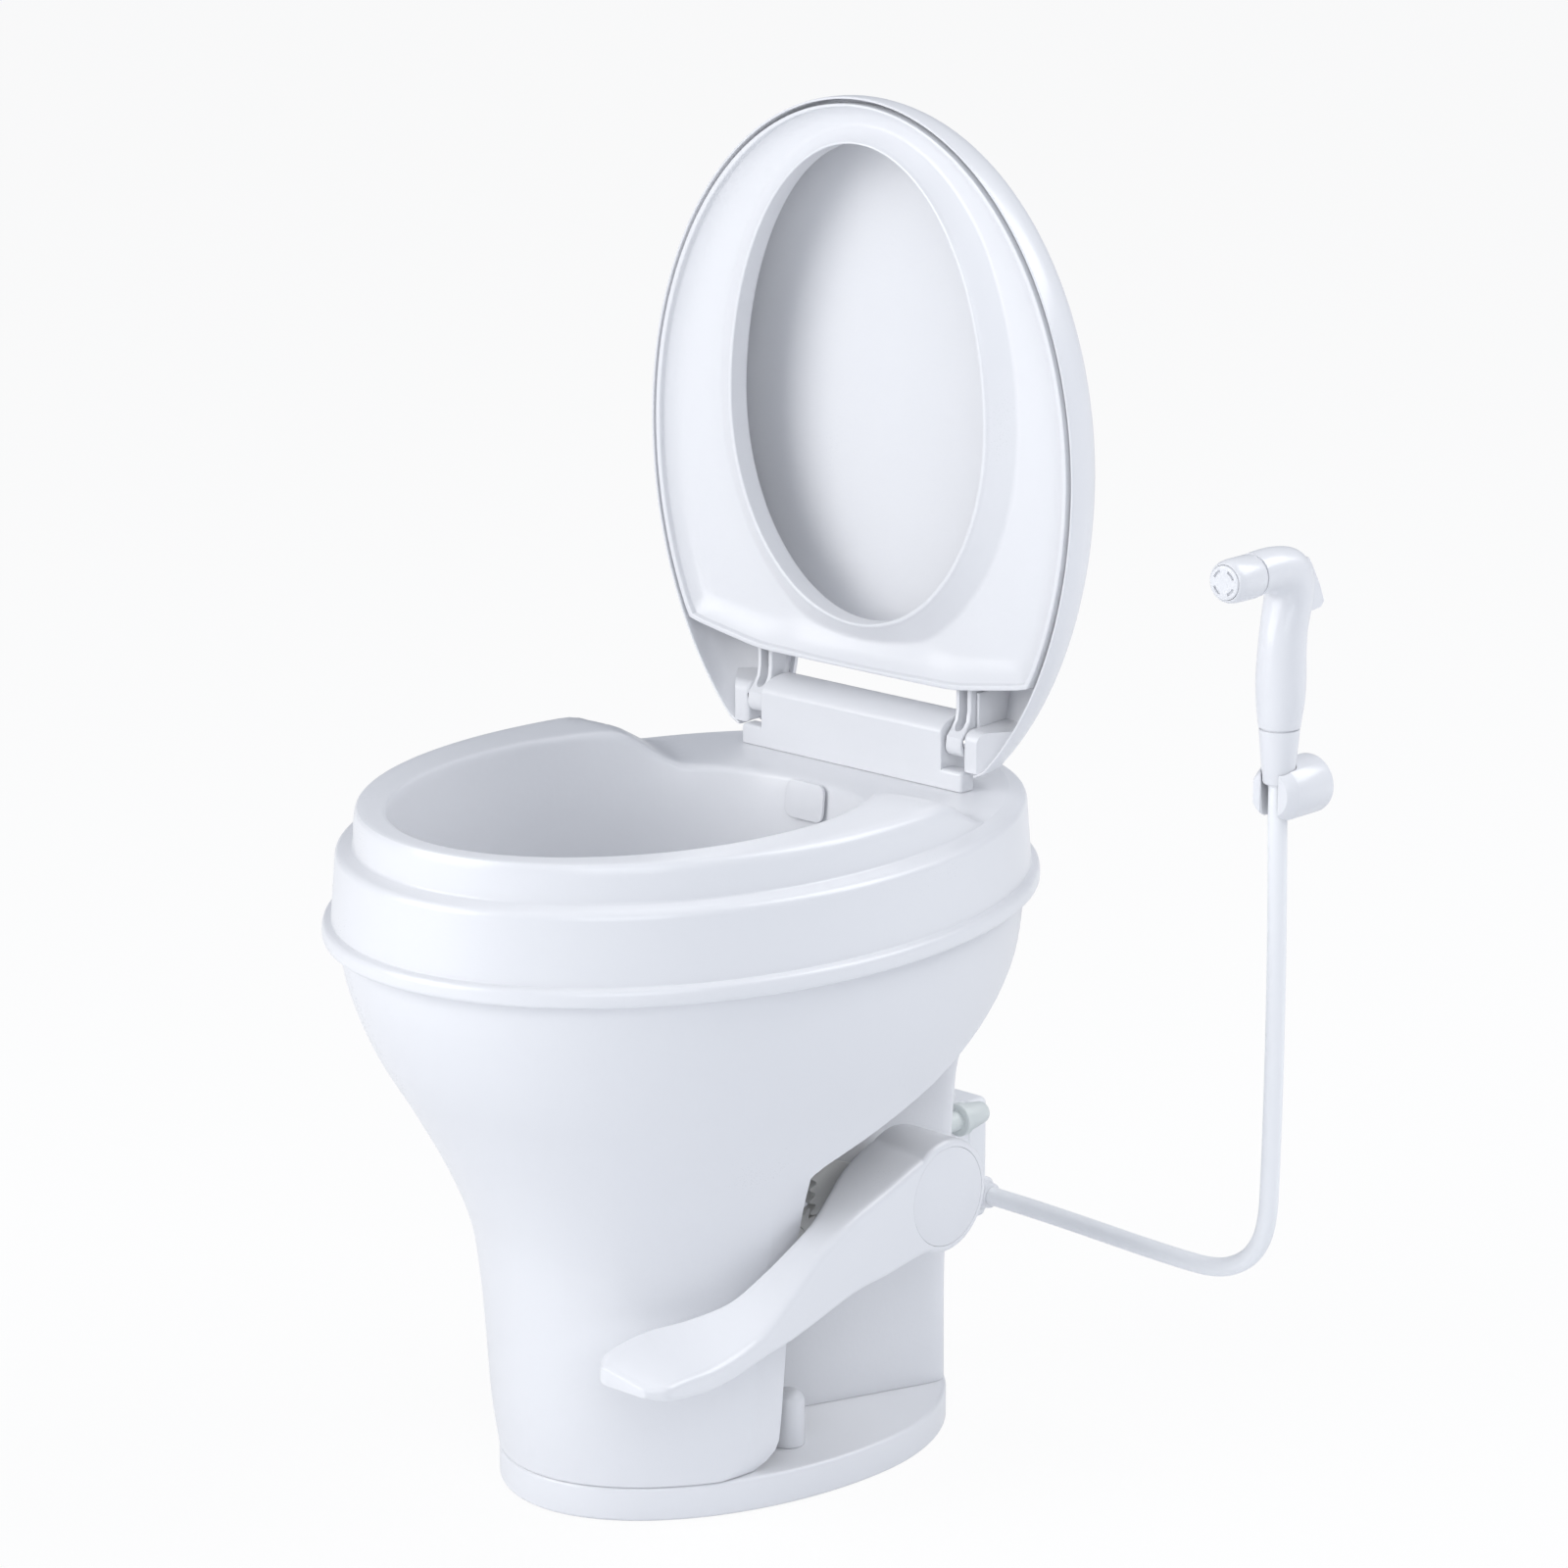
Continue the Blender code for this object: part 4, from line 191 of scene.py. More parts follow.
def wrap(name, rows, ends='LOOP', sharp=32):
    """Wrap a grid round rows of points, each a closed ring, and join its ends in a loop or fill them."""
    if ends == 'LOOP':
        rows = rows + [rows[0]]
    piece = grid(name, [list(row) + [row[0]] for row in rows])
    bpy.ops.object.mode_set(mode='EDIT')
    bpy.ops.mesh.select_all(action='SELECT')
    bpy.ops.mesh.remove_doubles(threshold=0.000002)
    if ends == 'FILL':
        bpy.ops.mesh.fill_holes(sides=0)
    bpy.ops.mesh.select_all(action='SELECT')
    bpy.ops.mesh.normals_make_consistent(inside=False)
    bpy.ops.object.mode_set(mode='OBJECT')
    bpy.ops.object.shade_smooth_by_angle(angle=math.radians(sharp))
    return piece


line = smooth_line(HOSE_ROUTE, 8)
rows = []
for place, point in enumerate(line):
    ahead = (line[min(place + 1, len(line) - 1)] - line[max(place - 1, 0)]).normalized()
    away = ahead.cross(Vector((0, 1, 0))).normalized()
    angles = [math.tau * step / HOSE_SIDES for step in range(HOSE_SIDES)]
    rows.append([point + Vector((0, 1, 0)) * (HOSE_RADIUS * math.cos(angle))
                 + away * (HOSE_RADIUS * math.sin(angle)) for angle in angles])
hose = wrap("sprayer_hose", rows, 'FILL')
vinyl = moulded("white_vinyl", (0.900, 0.908, 0.922), (0.880, 0.890, 0.905), 0.34, 140.0, 0.0004)
hose.data.materials.clear()
hose.data.materials.append(vinyl)
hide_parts("spray_hose")
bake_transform(hose)
sum((b - a).length for a, b in zip(line, line[1:]))

# Floor and backdrop. A wide pale sheet under and behind the toilet: the camera sees it almost white and
# gloss sees it bright, and it keeps a soft shadow where the foot stands.
bpy.ops.object.select_all(action='DESELECT')
bpy.ops.mesh.primitive_plane_add(size=40.0, location=(0.0, 0.0, -0.0005))
floor = bpy.context.object
floor.name = "floor"
paper = bpy.data.materials.new("floor_paper")
paper.use_nodes = True
tree = paper.node_tree
matt = tree.nodes["Principled BSDF"]
matt.inputs["Base Color"].default_value = (0.86, 0.87, 0.89, 1.0)
matt.inputs["Roughness"].default_value = 0.9
matt.inputs["Specular IOR Level"].default_value = 0.0
rays = tree.nodes.new("ShaderNodeLightPath")
seen = Link(tree, rays.outputs["Is Camera Ray"])
mirrored = Link(tree, rays.outputs["Is Glossy Ray"])
glow = seen.node("ShaderNodeEmission", {"Color": (1.0, 1.0, 1.0, 1.0), "Strength": 1.0})
sheet = seen.node("ShaderNodeMixShader", {0: seen.maths('MAXIMUM', seen * 0.92, mirrored * 0.5),
                                          1: Link(tree, matt.outputs[0]), 2: glow})
tree.links.new(sheet.socket, tree.nodes["Material Output"].inputs["Surface"])
floor.data.materials.append(paper)

# Studio light. One wide soft lamp left of the camera models the forms, weaker ones fill from the right and
# from above, a fourth brightens what faces up and back, and the room's pale walls do the rest.
for name, place, size, power, tint in (
        ("key_lamp", (-1.15, -2.80, 1.55), 2.3, 58.0, (1.0, 0.995, 0.985)),
        ("fill_lamp", (2.35, -1.95, 1.70), 1.9, 25.0, (0.96, 0.98, 1.0)),
        ("top_lamp", (-0.50, -1.00, 2.70), 1.6, 5.0, (1.0, 1.0, 1.0)),
        ("rear_lamp", (1.50, 1.60, 2.60), 2.0, 52.0, (1.0, 1.0, 1.0))):
    turned = (Vector((0.05, -0.12, 0.40)) - Vector(place)).to_track_quat('-Z', 'Y').to_euler()
    bpy.ops.object.light_add(type='AREA', location=place, rotation=turned)
    lamp = bpy.context.object
    lamp.name = name
    lamp.data.size = size
    lamp.data.energy = power
    lamp.data.color = tint
room = bpy.data.worlds.new("room")
bpy.context.scene.world = room
room.use_nodes = True
tree = room.node_tree
walls = tree.nodes["Background"]
walls.inputs["Color"].default_value = (0.81, 0.87, 1.0, 1.0)
walls.inputs["Strength"].default_value = 0.40
rays = tree.nodes.new("ShaderNodeLightPath")
seen = Link(tree, rays.outputs["Is Camera Ray"])
pane = Link(tree, rays.outputs["Is Transmission Ray"])
blank = seen.node("ShaderNodeBackground", {"Color": (1.0, 1.0, 1.0, 1.0), "Strength": 1.0})
view = seen.node("ShaderNodeMixShader", {0: seen.maths('MAXIMUM', seen, pane),
                                         1: Link(tree, walls.outputs[0]), 2: blank})
tree.links.new(view.socket, tree.nodes["World Output"].inputs["Surface"])

# Foot plate. The flat egg-shaped base of the pedestal, moulded in one with the outlet's collar, with its
# edges broken top and bottom. Two floor bolts pass through it.
FOOT = (0.1183, 0.1836, 0.1443, -0.1158)
FOOT_HEIGHT = 0.022
DRAIN_Y = -0.156
BOLT_X = 0.077
GAP = 0.0003


def edit(piece):
    """Open a piece for editing with nothing selected, and give back its mesh."""
    bpy.ops.object.mode_set(mode='OBJECT')
    bpy.ops.object.select_all(action='DESELECT')
    piece.select_set(True)
    bpy.context.view_layer.objects.active = piece
    bpy.ops.object.mode_set(mode='EDIT')
    bpy.ops.mesh.select_all(action='DESELECT')
    return bmesh.from_edit_mesh(piece.data)


def pick(piece, what, wanted):
    """Select the vertices, edges or faces of the mesh being edited that a test picks out."""
    bpy.ops.mesh.select_mode(type={'verts': 'VERT', 'edges': 'EDGE', 'faces': 'FACE'}[what])
    bpy.ops.mesh.select_all(action='DESELECT')
    mesh = bmesh.from_edit_mesh(piece.data)
    for part in getattr(mesh, what):
        if wanted(part):
            part.select_set(True)
    mesh.select_flush_mode()
    bmesh.update_edit_mesh(piece.data)


def broken_edge(edge):
    """Whether an edge is a hard corner between two faces."""
    return len(edge.link_faces) == 2 and edge.calc_face_angle(0.0) > 1.0


def shut(piece, sharp=32):
    """Leave edit mode, put the piece's place into its mesh and shade it."""
    bpy.ops.mesh.select_all(action='SELECT')
    bpy.ops.mesh.normals_make_consistent(inside=False)
    bpy.ops.object.mode_set(mode='OBJECT')
    bpy.ops.object.transform_apply(location=True, rotation=True, scale=True)
    bpy.ops.object.shade_smooth_by_angle(angle=math.radians(sharp))
    return piece


def shape_with(piece, kind, **settings):
    """Add a modifier, set it and apply it."""
    bpy.ops.object.select_all(action='DESELECT')
    piece.select_set(True)
    bpy.context.view_layer.objects.active = piece
    step = piece.modifiers.new(kind.lower(), kind)
    for name, value in settings.items():
        setattr(step, name, value)
    bpy.ops.object.modifier_apply(modifier=step.name)


def combine(piece, tool, operation):
    """Join a tool to a piece or cut the piece with it, and throw the tool away."""
    shape_with(piece, 'BOOLEAN', operation=operation, object=tool, solver='EXACT')
    bpy.data.objects.remove(tool)


bpy.ops.object.select_all(action='DESELECT')
bpy.ops.mesh.primitive_circle_add(vertices=128, radius=1.0, fill_type='NGON', location=(0.0, FOOT[3], 0.0))
plate = bpy.context.object
plate.name = "foot_plate"
edit(plate)
bpy.ops.mesh.select_all(action='SELECT')
bpy.ops.transform.resize(value=(FOOT[0], 1.0, 1.0), center_override=(0.0, FOOT[3], 0.0))
for reach, side in ((FOOT[1], -1), (FOOT[2], 1)):
    pick(plate, 'verts', lambda v: v.co.y * side > 1e-5)
    bpy.ops.transform.resize(value=(1.0, reach, 1.0), center_override=(0.0, FOOT[3], 0.0))
bpy.ops.mesh.select_mode(type='FACE')
bpy.ops.mesh.select_all(action='SELECT')
bpy.ops.mesh.extrude_region_move(TRANSFORM_OT_translate={"value": (0.0, 0.0, FOOT_HEIGHT)})
pick(plate, 'edges', broken_edge)
bpy.ops.mesh.bevel(offset=0.0024, segments=4, affect='EDGES')
shut(plate)


def rod(name, start, end, radius, sides=48):
    """A plain bar between two points, for holes and joints."""
    reach = end - start
    bpy.ops.object.select_all(action='DESELECT')
    bpy.ops.mesh.primitive_cylinder_add(vertices=sides, radius=radius, depth=reach.length,
                                        location=(start + end) / 2,
                                        rotation=reach.to_track_quat('Z', 'Y').to_euler())
    made = bpy.context.object
    made.name = name
    bpy.ops.object.transform_apply(location=True, rotation=True, scale=True)
    return made


def drill(piece, start, end, radius, sides=48):
    """Make a round hole in a piece, from one point to another."""
    combine(piece, rod("drill", start, end, radius, sides), 'DIFFERENCE')


up = Vector((0, 0, 1))
side = Vector((1, 0, 0))
drain = Vector((0.0, DRAIN_Y, 0.0))
drill(plate, drain - up * 0.01, drain + up * 0.03, 0.0428, 64)
drill(plate, drain - up * 0.01, drain + up * 0.0073, 0.0548, 64)
for hand in (-1, 1):
    bolt = drain + side * (BOLT_X * hand)
    drill(plate, bolt - up * 0.01, bolt + up * 0.03, 0.0043)
settle(plate, ["base_plate"], sharp=32)

# Bolt caps. A tall thin-walled cap with a domed crown is pushed over each floor bolt and its nut. It is
# moulded in the same white plastic as the foot.
for hand, word in ((-1, "right"), (1, "left")):
    bolt = Vector((BOLT_X * hand, DRAIN_Y, FOOT_HEIGHT + GAP))
    bpy.ops.object.select_all(action='DESELECT')
    bpy.ops.mesh.primitive_cylinder_add(vertices=64, radius=0.0105, depth=0.036, location=bolt + up * 0.018)
    cap = bpy.context.object
    cap.name = "bolt_cap_" + word + "_fine"
    edit(cap)
    pick(cap, 'edges', lambda e: min(v.co.z for v in e.verts) > 0.017)
    bpy.ops.mesh.bevel(offset=0.0085, segments=12, affect='EDGES', profile=0.5)
    pick(cap, 'faces', lambda f: f.normal.z < -0.9)
    bpy.ops.mesh.inset(thickness=0.002)
    bpy.ops.mesh.extrude_region_move(TRANSFORM_OT_translate={"value": (0.0, 0.0, 0.026)})
    bpy.ops.transform.resize(value=(0.9, 0.9, 1.0), center_override=bolt)
    pick(cap, 'edges', lambda e: len(e.link_faces) == 2 and e.calc_face_angle(0.0) > 1.2
         and max(v.co.z for v in e.verts) < -0.017)
    bpy.ops.mesh.bevel(offset=0.0004, segments=2, affect='EDGES')
    shut(cap)
    settle(cap, ["bolt_cap_" + word])

# Front shell. The pedestal's cover is one thin wall that grows from the foot's egg to the lip's wider one.
# Its upright rear edges stop at the bolts and turn inwards, and above the pedal they climb back to the lip.
RING = (0.1845, 0.2359, 0.2557, -0.172)
WALL = 0.004
SHELL_LOW, SHELL_HIGH = FOOT_HEIGHT + GAP, 0.3602
SHELL_SHARES = ((0.0, 0.0), (0.09, 0.045), (0.21, 0.075), (0.33, 0.11), (0.44, 0.17), (0.555, 0.325),
                (0.675, 0.545), (0.795, 0.785), (0.91, 0.94), (1.0, 1.0))
EDGE_SHARES = ((0.0, 0.0), (0.02, 0.04), (0.17, 0.18), (0.34, 0.325), (0.50, 0.49), (0.72, 0.72),
               (0.93, 0.93))
EDGE_Y, EDGE_SLANT, EDGE_STEP, NOTCH_Z = -0.198, -0.0050, 0.0125, 0.2205
CORNER_CUT, CORNER_HEIGHT = 0.015, 0.018
MARGIN, TURNED_IN = 0.027, 0.0092


def eased(table, place):
    """Read a table of (place, value) rows along a smooth curve through them."""
    xs = [row[0] for row in table]
    ys = [row[1] for row in table]
    place = min(max(place, xs[0]), xs[-1])
    row = max(i for i in range(len(xs) - 1) if xs[i] <= place)
    slopes = []
    for here in (row, row + 1):
        before, after = max(here - 1, 0), min(here + 1, len(xs) - 1)
        slopes.append((ys[after] - ys[before]) / (xs[after] - xs[before]))
    run = xs[row + 1] - xs[row]
    t = (place - xs[row]) / run
    return ((2 * t ** 3 - 3 * t ** 2 + 1) * ys[row] + (t ** 3 - 2 * t ** 2 + t) * run * slopes[0]
            + (3 * t ** 2 - 2 * t ** 3) * ys[row + 1] + (t ** 3 - t ** 2) * run * slopes[1])


def shell_egg(z):
    """Half width, front reach, rear reach and middle of the shell at a height."""
    share = eased(SHELL_SHARES, (z - SHELL_LOW) / (SHELL_HIGH - SHELL_LOW))
    low = [size + GAP for size in FOOT[:3]] + [FOOT[3]]
    high = [size - WALL for size in RING[:3]] + [RING[3]]
    return [a + (b - a) * share for a, b in zip(low, high)]


def edge_y(z):
    """Where the shell's rear edge stands at a height."""
    run = RING[3] + RING[2] - EDGE_Y
    rise = SHELL_HIGH - NOTCH_Z
    if z <= NOTCH_Z:
        drop = (NOTCH_Z - z) / (NOTCH_Z - SHELL_LOW)
        corner = max(0.0, 1.0 - (z - SHELL_LOW) / CORNER_HEIGHT)
        return EDGE_Y + EDGE_SLANT * drop + EDGE_STEP * min(1.0, drop * 5) - CORNER_CUT * corner ** 2
    back = [(upward, along) for along, upward in EDGE_SHARES]
    return EDGE_Y + run * eased(back, min((z - NOTCH_Z) / rise, 0.93))


levels = [SHELL_LOW + (SHELL_HIGH - SHELL_LOW) * step / 56 for step in range(57)]
columns = 200
rows = []
for z in sorted(levels + [NOTCH_Z, NOTCH_Z + 0.002]):
    half, front, rear, middle = shell_egg(z)
    stop = edge_y(z)
    reach = front if stop < middle else rear
    limit = math.asin(max(-1.0, min(1.0, (stop - middle) / reach)))
    limit = min(limit, math.radians(88.5))
    row = []
    for column in range(columns + 1):
        angle = math.pi - limit + (math.pi + 2 * limit) * (column / columns)
        long = front if math.sin(angle) < 0 else rear
        x = half * math.cos(angle)
        y = middle + long * math.sin(angle)
        if z < NOTCH_Z:
            margin = max(0.0, 1.0 - (stop - y) / MARGIN)
            fade = min(1.0, (NOTCH_Z - z) / 0.04)
            x -= math.copysign(TURNED_IN * margin * fade, x)
        row.append((x, y, z))
    rows.append(row)
shell = grid("front_cover", rows)
edit(shell)
shut(shell)
inward = shell.data.polygons[columns * 3 + columns // 2].normal.y > 0
shape_with(shell, 'SOLIDIFY', thickness=WALL, offset=1.0 if inward else -1.0, use_even_offset=True)
shape_with(shell, 'BEVEL', width=0.0009, segments=3, limit_method='ANGLE', angle_limit=math.radians(50))
edit(shell)
shut(shell, 13)
settle(shell, ["front_shell"])

# Rear column. The upright behind the shell, open to the front, with flat cheeks and a round back. It
# flares under the deck and carries the pedal's boss on its right cheek and the water valve on its back.
COLUMN_CORNER = math.radians(48.7)
COLUMN_FRONT_HALF, COLUMN_FRONT_Y = 0.0407, -0.108
PEDAL_Y, PEDAL_Z = -0.0837, 0.1823
COLUMN_TOP = 0.4137
FLARE_SHARES = ((0.0, 0.0), (0.22, 0.0), (0.47, 0.145), (0.54, 0.21), (0.59, 0.375), (0.64, 0.60),
                (0.72, 0.84), (0.80, 1.0), (1.0, 1.0))
FRONT_SHARES = ((0.0, 0.0), (0.45, 0.0), (0.54, 0.12), (0.59, 0.26), (0.72, 0.66), (0.80, 1.0), (1.0, 1.0))
columns = 76
cheek = 14
rows = []
for level in range(61):
    z = SHELL_LOW + (COLUMN_TOP - SHELL_LOW) * level / 60
    share = (z - SHELL_LOW) / (COLUMN_TOP - SHELL_LOW)
    flare = 0.034 * eased(FLARE_SHARES, share)
    low_step = min(1.0, max(0.0, (0.25 - share) / 0.05))
    front_y = COLUMN_FRONT_Y + 0.078 * eased(FRONT_SHARES, share) - 0.0148 * low_step
    half, rear = FOOT[0] - 0.001 + flare, FOOT[2] - 0.001 + flare
    corner = (half * math.cos(COLUMN_CORNER), FOOT[3] + rear * math.sin(COLUMN_CORNER))
    slope = (corner[0] - flare - COLUMN_FRONT_HALF) / (FOOT[2] * math.sin(COLUMN_CORNER) + FOOT[3]
                                                       - COLUMN_FRONT_Y)
    line = []
    for step in range(cheek):
        y = front_y + (corner[1] - front_y) * step / cheek
        line.append((corner[0] - (corner[1] - y) * slope, y))
    back = []
    steps = columns - 2 * cheek
    for step in range(steps + 1):
        angle = COLUMN_CORNER + (math.pi - 2 * COLUMN_CORNER) * step / steps
        back.append((half * math.cos(angle), FOOT[3] + rear * math.sin(angle)))
    outline = np.array(line + back + [(-x, y) for x, y in reversed(line)])
    for turn in range(2):
        outline[1:-1] = outline[1:-1] * 0.5 + (outline[:-2] + outline[2:]) * 0.25
    rows.append([(x, y, z) for x, y in outline])
column = grid("rear_upright", rows)
edit(column)
shut(column)
inward = column.data.polygons[columns * 3 + columns // 2].normal.y < 0
shape_with(column, 'SOLIDIFY', thickness=WALL, offset=1.0 if inward else -1.0, use_even_offset=True)
axle = Vector((0.0, PEDAL_Y, PEDAL_Z))
boss = rod("pedal_boss", axle + side * 0.0400, axle + side * 0.0745, 0.030, 96)
combine(column, boss, 'UNION')
drill(column, axle + side * 0.01, axle + side * 0.12, 0.0121, 64)


def box(name, low, high):
    """A plain block between two corners, for cutting."""
    low, high = Vector(low), Vector(high)
    bpy.ops.object.select_all(action='DESELECT')
    bpy.ops.mesh.primitive_cube_add(size=1.0, location=(low + high) / 2, scale=high - low)
    made = bpy.context.object
    made.name = name
    bpy.ops.object.transform_apply(location=True, rotation=True, scale=True)
    return made


def easy_box(name, low, high, edge, segments=4):
    """A block between two corners with all its edges rounded."""
    made = box(name, low, high)
    edit(made)
    bpy.ops.mesh.select_all(action='SELECT')
    bpy.ops.mesh.bevel(offset=edge, segments=segments, affect='EDGES')
    return shut(made)


pad = easy_box("valve_pad", (-0.018, 0.0236, 0.098), (0.048, 0.0360, 0.200), 0.0020, 3)
combine(column, pad, 'UNION')
for x, z, radius in ((0.032, 0.1683, 0.0039), (0.062, 0.188, 0.0068), (0.0, 0.145, 0.0078)):
    drill(column, Vector((x, -0.02, z)), Vector((x, 0.05, z)), radius)
shape_with(column, 'BEVEL', width=0.0008, segments=2, limit_method='ANGLE', angle_limit=math.radians(60))
edit(column)
shut(column)
settle(column, ["rear_column"])

# Rim ring. Lip, band, ledge, raised rim and rear deck are one hollow moulding round the bowl's mouth.
# The raised rim runs down into the flat deck on both sides in front of the seat's hinge.
OPENING = (0.1318, 0.1757, 0.1494, -0.2016)
LIP_Z, DECK_Z, RIM_RISE = 0.3605, 0.418, 0.0235
LINER_FOOT, LINER_TAPER, NOZZLE_Z = 0.345, 0.0072, 0.404
TAIL_END_Y, TAIL_END_HALF, TAIL_SLANT, TAIL_LENGTH = -0.052, 0.126, 0.55, 0.060


def rim_share(x, y):
    """How much of the raised rim stands at a place: all of it in front, none on the rear deck."""
    end = TAIL_END_Y - (TAIL_END_HALF - min(abs(x), TAIL_END_HALF)) * TAIL_SLANT
    part = max(0.0, min(1.0, (end - y) / TAIL_LENGTH))
    return part * part * (3 - 2 * part)


def station(shape, inset, z, lift, size):
    """A corner of the ring's profile: an egg drawn in by an inset, at a height, and its rounding."""
    return (np.array([shape[0] - inset, shape[1] - inset, shape[2] - inset, shape[3], z, lift]), size)


def rounded(corners, steps=5, looped=True):
    """Round the corners of a profile with short curves."""
    line = []
    for place, (here, size) in enumerate(corners):
        last = place == len(corners) - 1
        if size == 0 or (not looped and (place == 0 or last)):
            line.append(here)
            continue
        before, after = corners[place - 1][0], corners[(place + 1) % len(corners)][0]
        ends = []
        for other in (before, after):
            gap = other - here
            away = math.hypot(gap[0], gap[-2] + gap[-1]) if len(gap) > 2 else math.hypot(*gap)
            ends.append(here + gap * min(0.5, size / max(away, 1e-9)))
        for step in range(steps + 1):
            t = step / steps
            line.append(ends[0] * (1 - t) ** 2 + here * (2 * t * (1 - t)) + ends[1] * t ** 2)
    return line


STEP_IN = 0.0145
corners = [
    station(RING, WALL, LIP_Z, 0, 0.0004), station(RING, -0.0055, LIP_Z, 0, 0.0030),
    station(RING, -0.0055, LIP_Z + 0.0105, 0, 0.0052), station(RING, 0.0002, LIP_Z + 0.0115, 0, 0.0006),
    station(RING, 0.0035, DECK_Z - 0.0032, 0, 0.0042), station(RING, STEP_IN, DECK_Z, 0, 0.0016),
    station(RING, STEP_IN + 0.0008, DECK_Z, RIM_RISE, 0.0105)]
near = station(RING, STEP_IN + 0.0008, DECK_Z, RIM_RISE, 0)[0]
far = station(OPENING, 0, DECK_Z, RIM_RISE, 0)[0]
corners += [(near + (far - near) * share, 0) for share in (0.34, 0.46, 0.58, 0.70, 0.82)]
corners += [station(OPENING, 0, DECK_Z, RIM_RISE, 0.0060),
            station(OPENING, LINER_TAPER, LINER_FOOT, 0, 0.0008),
            station(OPENING, LINER_TAPER - WALL, LINER_FOOT, 0, 0.0008),
            station(OPENING, -WALL, DECK_Z - WALL, RIM_RISE, 0.003)]
corners += [(far + (near - far) * share + np.array([0, 0, 0, 0, -WALL, 0]), 0) for share in (0.3, 0.5, 0.7)]
corners += [station(RING, STEP_IN + 0.0048, DECK_Z - WALL, RIM_RISE, 0.007),
            station(RING, STEP_IN + 0.0040, DECK_Z - WALL, 0, 0.001),
            station(RING, 0.0078, DECK_Z - 0.0072, 0, 0.002), station(RING, WALL, LIP_Z + 0.0115, 0, 0)]
rows = []
for half, front, rear, middle, z, lift in rounded(corners):
    ring = []
    for step in range(160):
        angle = math.tau * (step + 0.5) / 160
        x = half * math.cos(angle)
        y = middle + (front if math.sin(angle) < 0 else rear) * math.sin(angle)
        ring.append((x, y, z + lift * rim_share(x, y)))
    rows.append(ring)
rim = wrap("rim_and_deck", rows, 'LOOP', 30)
drill(rim, Vector((0, -0.07, NOZZLE_Z)), Vector((0, -0.036, NOZZLE_Z)), 0.0078)
for hand in (-1, 1):
    hole = Vector((0.045 * hand, 0, DECK_Z))
    drill(rim, hole - up * 0.012, hole + up * 0.006, 0.0033)
settle(rim, ["rim_ring"], sharp=30)

# Bowl. A smooth funnel hangs from the rim's liner and narrows to the round throat over the flush ball. It
# is moulded in the same white plastic as the rim.
BOWL_SHARES = ((0.0, 0.0), (0.12, 0.08), (0.28, 0.28), (0.48, 0.55), (0.68, 0.80), (0.86, 0.95), (1.0, 1.0))
THROAT_Z, THROAT_RADIUS = 0.2053, 0.0385
MOUTH_Z = LINER_FOOT - GAP
throat = (THROAT_RADIUS, THROAT_RADIUS, THROAT_RADIUS, DRAIN_Y)
mouth = [size - LINER_TAPER for size in OPENING[:3]] + [OPENING[3]]
rows = []
for wall, order in ((0.0, range(36, -1, -1)), (WALL, range(37))):
    for step in order:
        level = step / 36
        share = eased(BOWL_SHARES, level)
        half, front, rear, middle = (a + (b - a) * share for a, b in zip(throat, mouth))
        rows.append([((half + wall) * math.cos(angle),
                      middle + ((front if math.sin(angle) < 0 else rear) + wall) * math.sin(angle),
                      THROAT_Z + (MOUTH_Z - THROAT_Z) * level)
                     for angle in (math.tau * (turn + 0.5) / 128 for turn in range(128))])
bowl = wrap("bowl_funnel", rows, 'LOOP', 40)
settle(bowl, ["bowl"])

# Hinge block. A low housing on the deck holds both hinge pins, with a tab at each foot, and is bolted
# down through the deck. Its top is domed from the front face up to the rear edge.
HINGE_Y, HINGE_Z, PIN_BORE = -0.007, 0.4485, 0.0043
BLOCK_FRONT, BLOCK_REAR, BLOCK_TOP = -0.0158, 0.0103, 0.4633


def plate_x(name, outline, left, right, edge):
    """A plate cut to an outline of (y, z) points, as thick as from left to right, with its edges broken."""
    rows = [[(x, y, z) for y, z in outline] for x in (left, right)]
    piece = wrap(name, rows, 'FILL')
    edit(piece)
    pick(piece, 'edges', lambda e: abs(e.verts[0].co.x - e.verts[1].co.x) < 1e-5)
    bpy.ops.mesh.bevel(offset=edge, segments=3, affect='EDGES', clamp_overlap=True)
    return shut(piece)


def hinge_point(x):
    """The point of the hinge line at a place across."""
    return Vector((x, HINGE_Y, HINGE_Z))


base = DECK_Z + GAP
outline = [(BLOCK_FRONT, base)]
for step in range(17):
    angle = math.pi / 2 * step / 16
    outline.append((BLOCK_FRONT + 0.0225 * (1 - math.cos(angle)),
                    BLOCK_TOP - 0.0100 * (1 - math.sin(angle))))
outline += [(BLOCK_REAR - 0.0016, BLOCK_TOP), (BLOCK_REAR - 0.0005, BLOCK_TOP - 0.0005),
            (BLOCK_REAR, BLOCK_TOP - 0.0016), (BLOCK_REAR, base)]
block = plate_x("hinge_housing", outline, -0.0768, 0.0768, 0.0009)
tabs = easy_box("hinge_tabs", (-0.094, BLOCK_FRONT, base - 0.003), (0.094, -0.0030, DECK_Z + 0.0128),
                0.0024, 5)
combine(tabs, box("tab_foot", (-0.11, -0.03, 0.40), (0.11, 0.03, base)), 'DIFFERENCE')
combine(block, tabs, 'UNION')
for hand in (-1, 1):
    drill(block, hinge_point(hand * 0.061), hinge_point(hand * 0.081), PIN_BORE)
settle(block, ["hinge_block"], sharp=32)

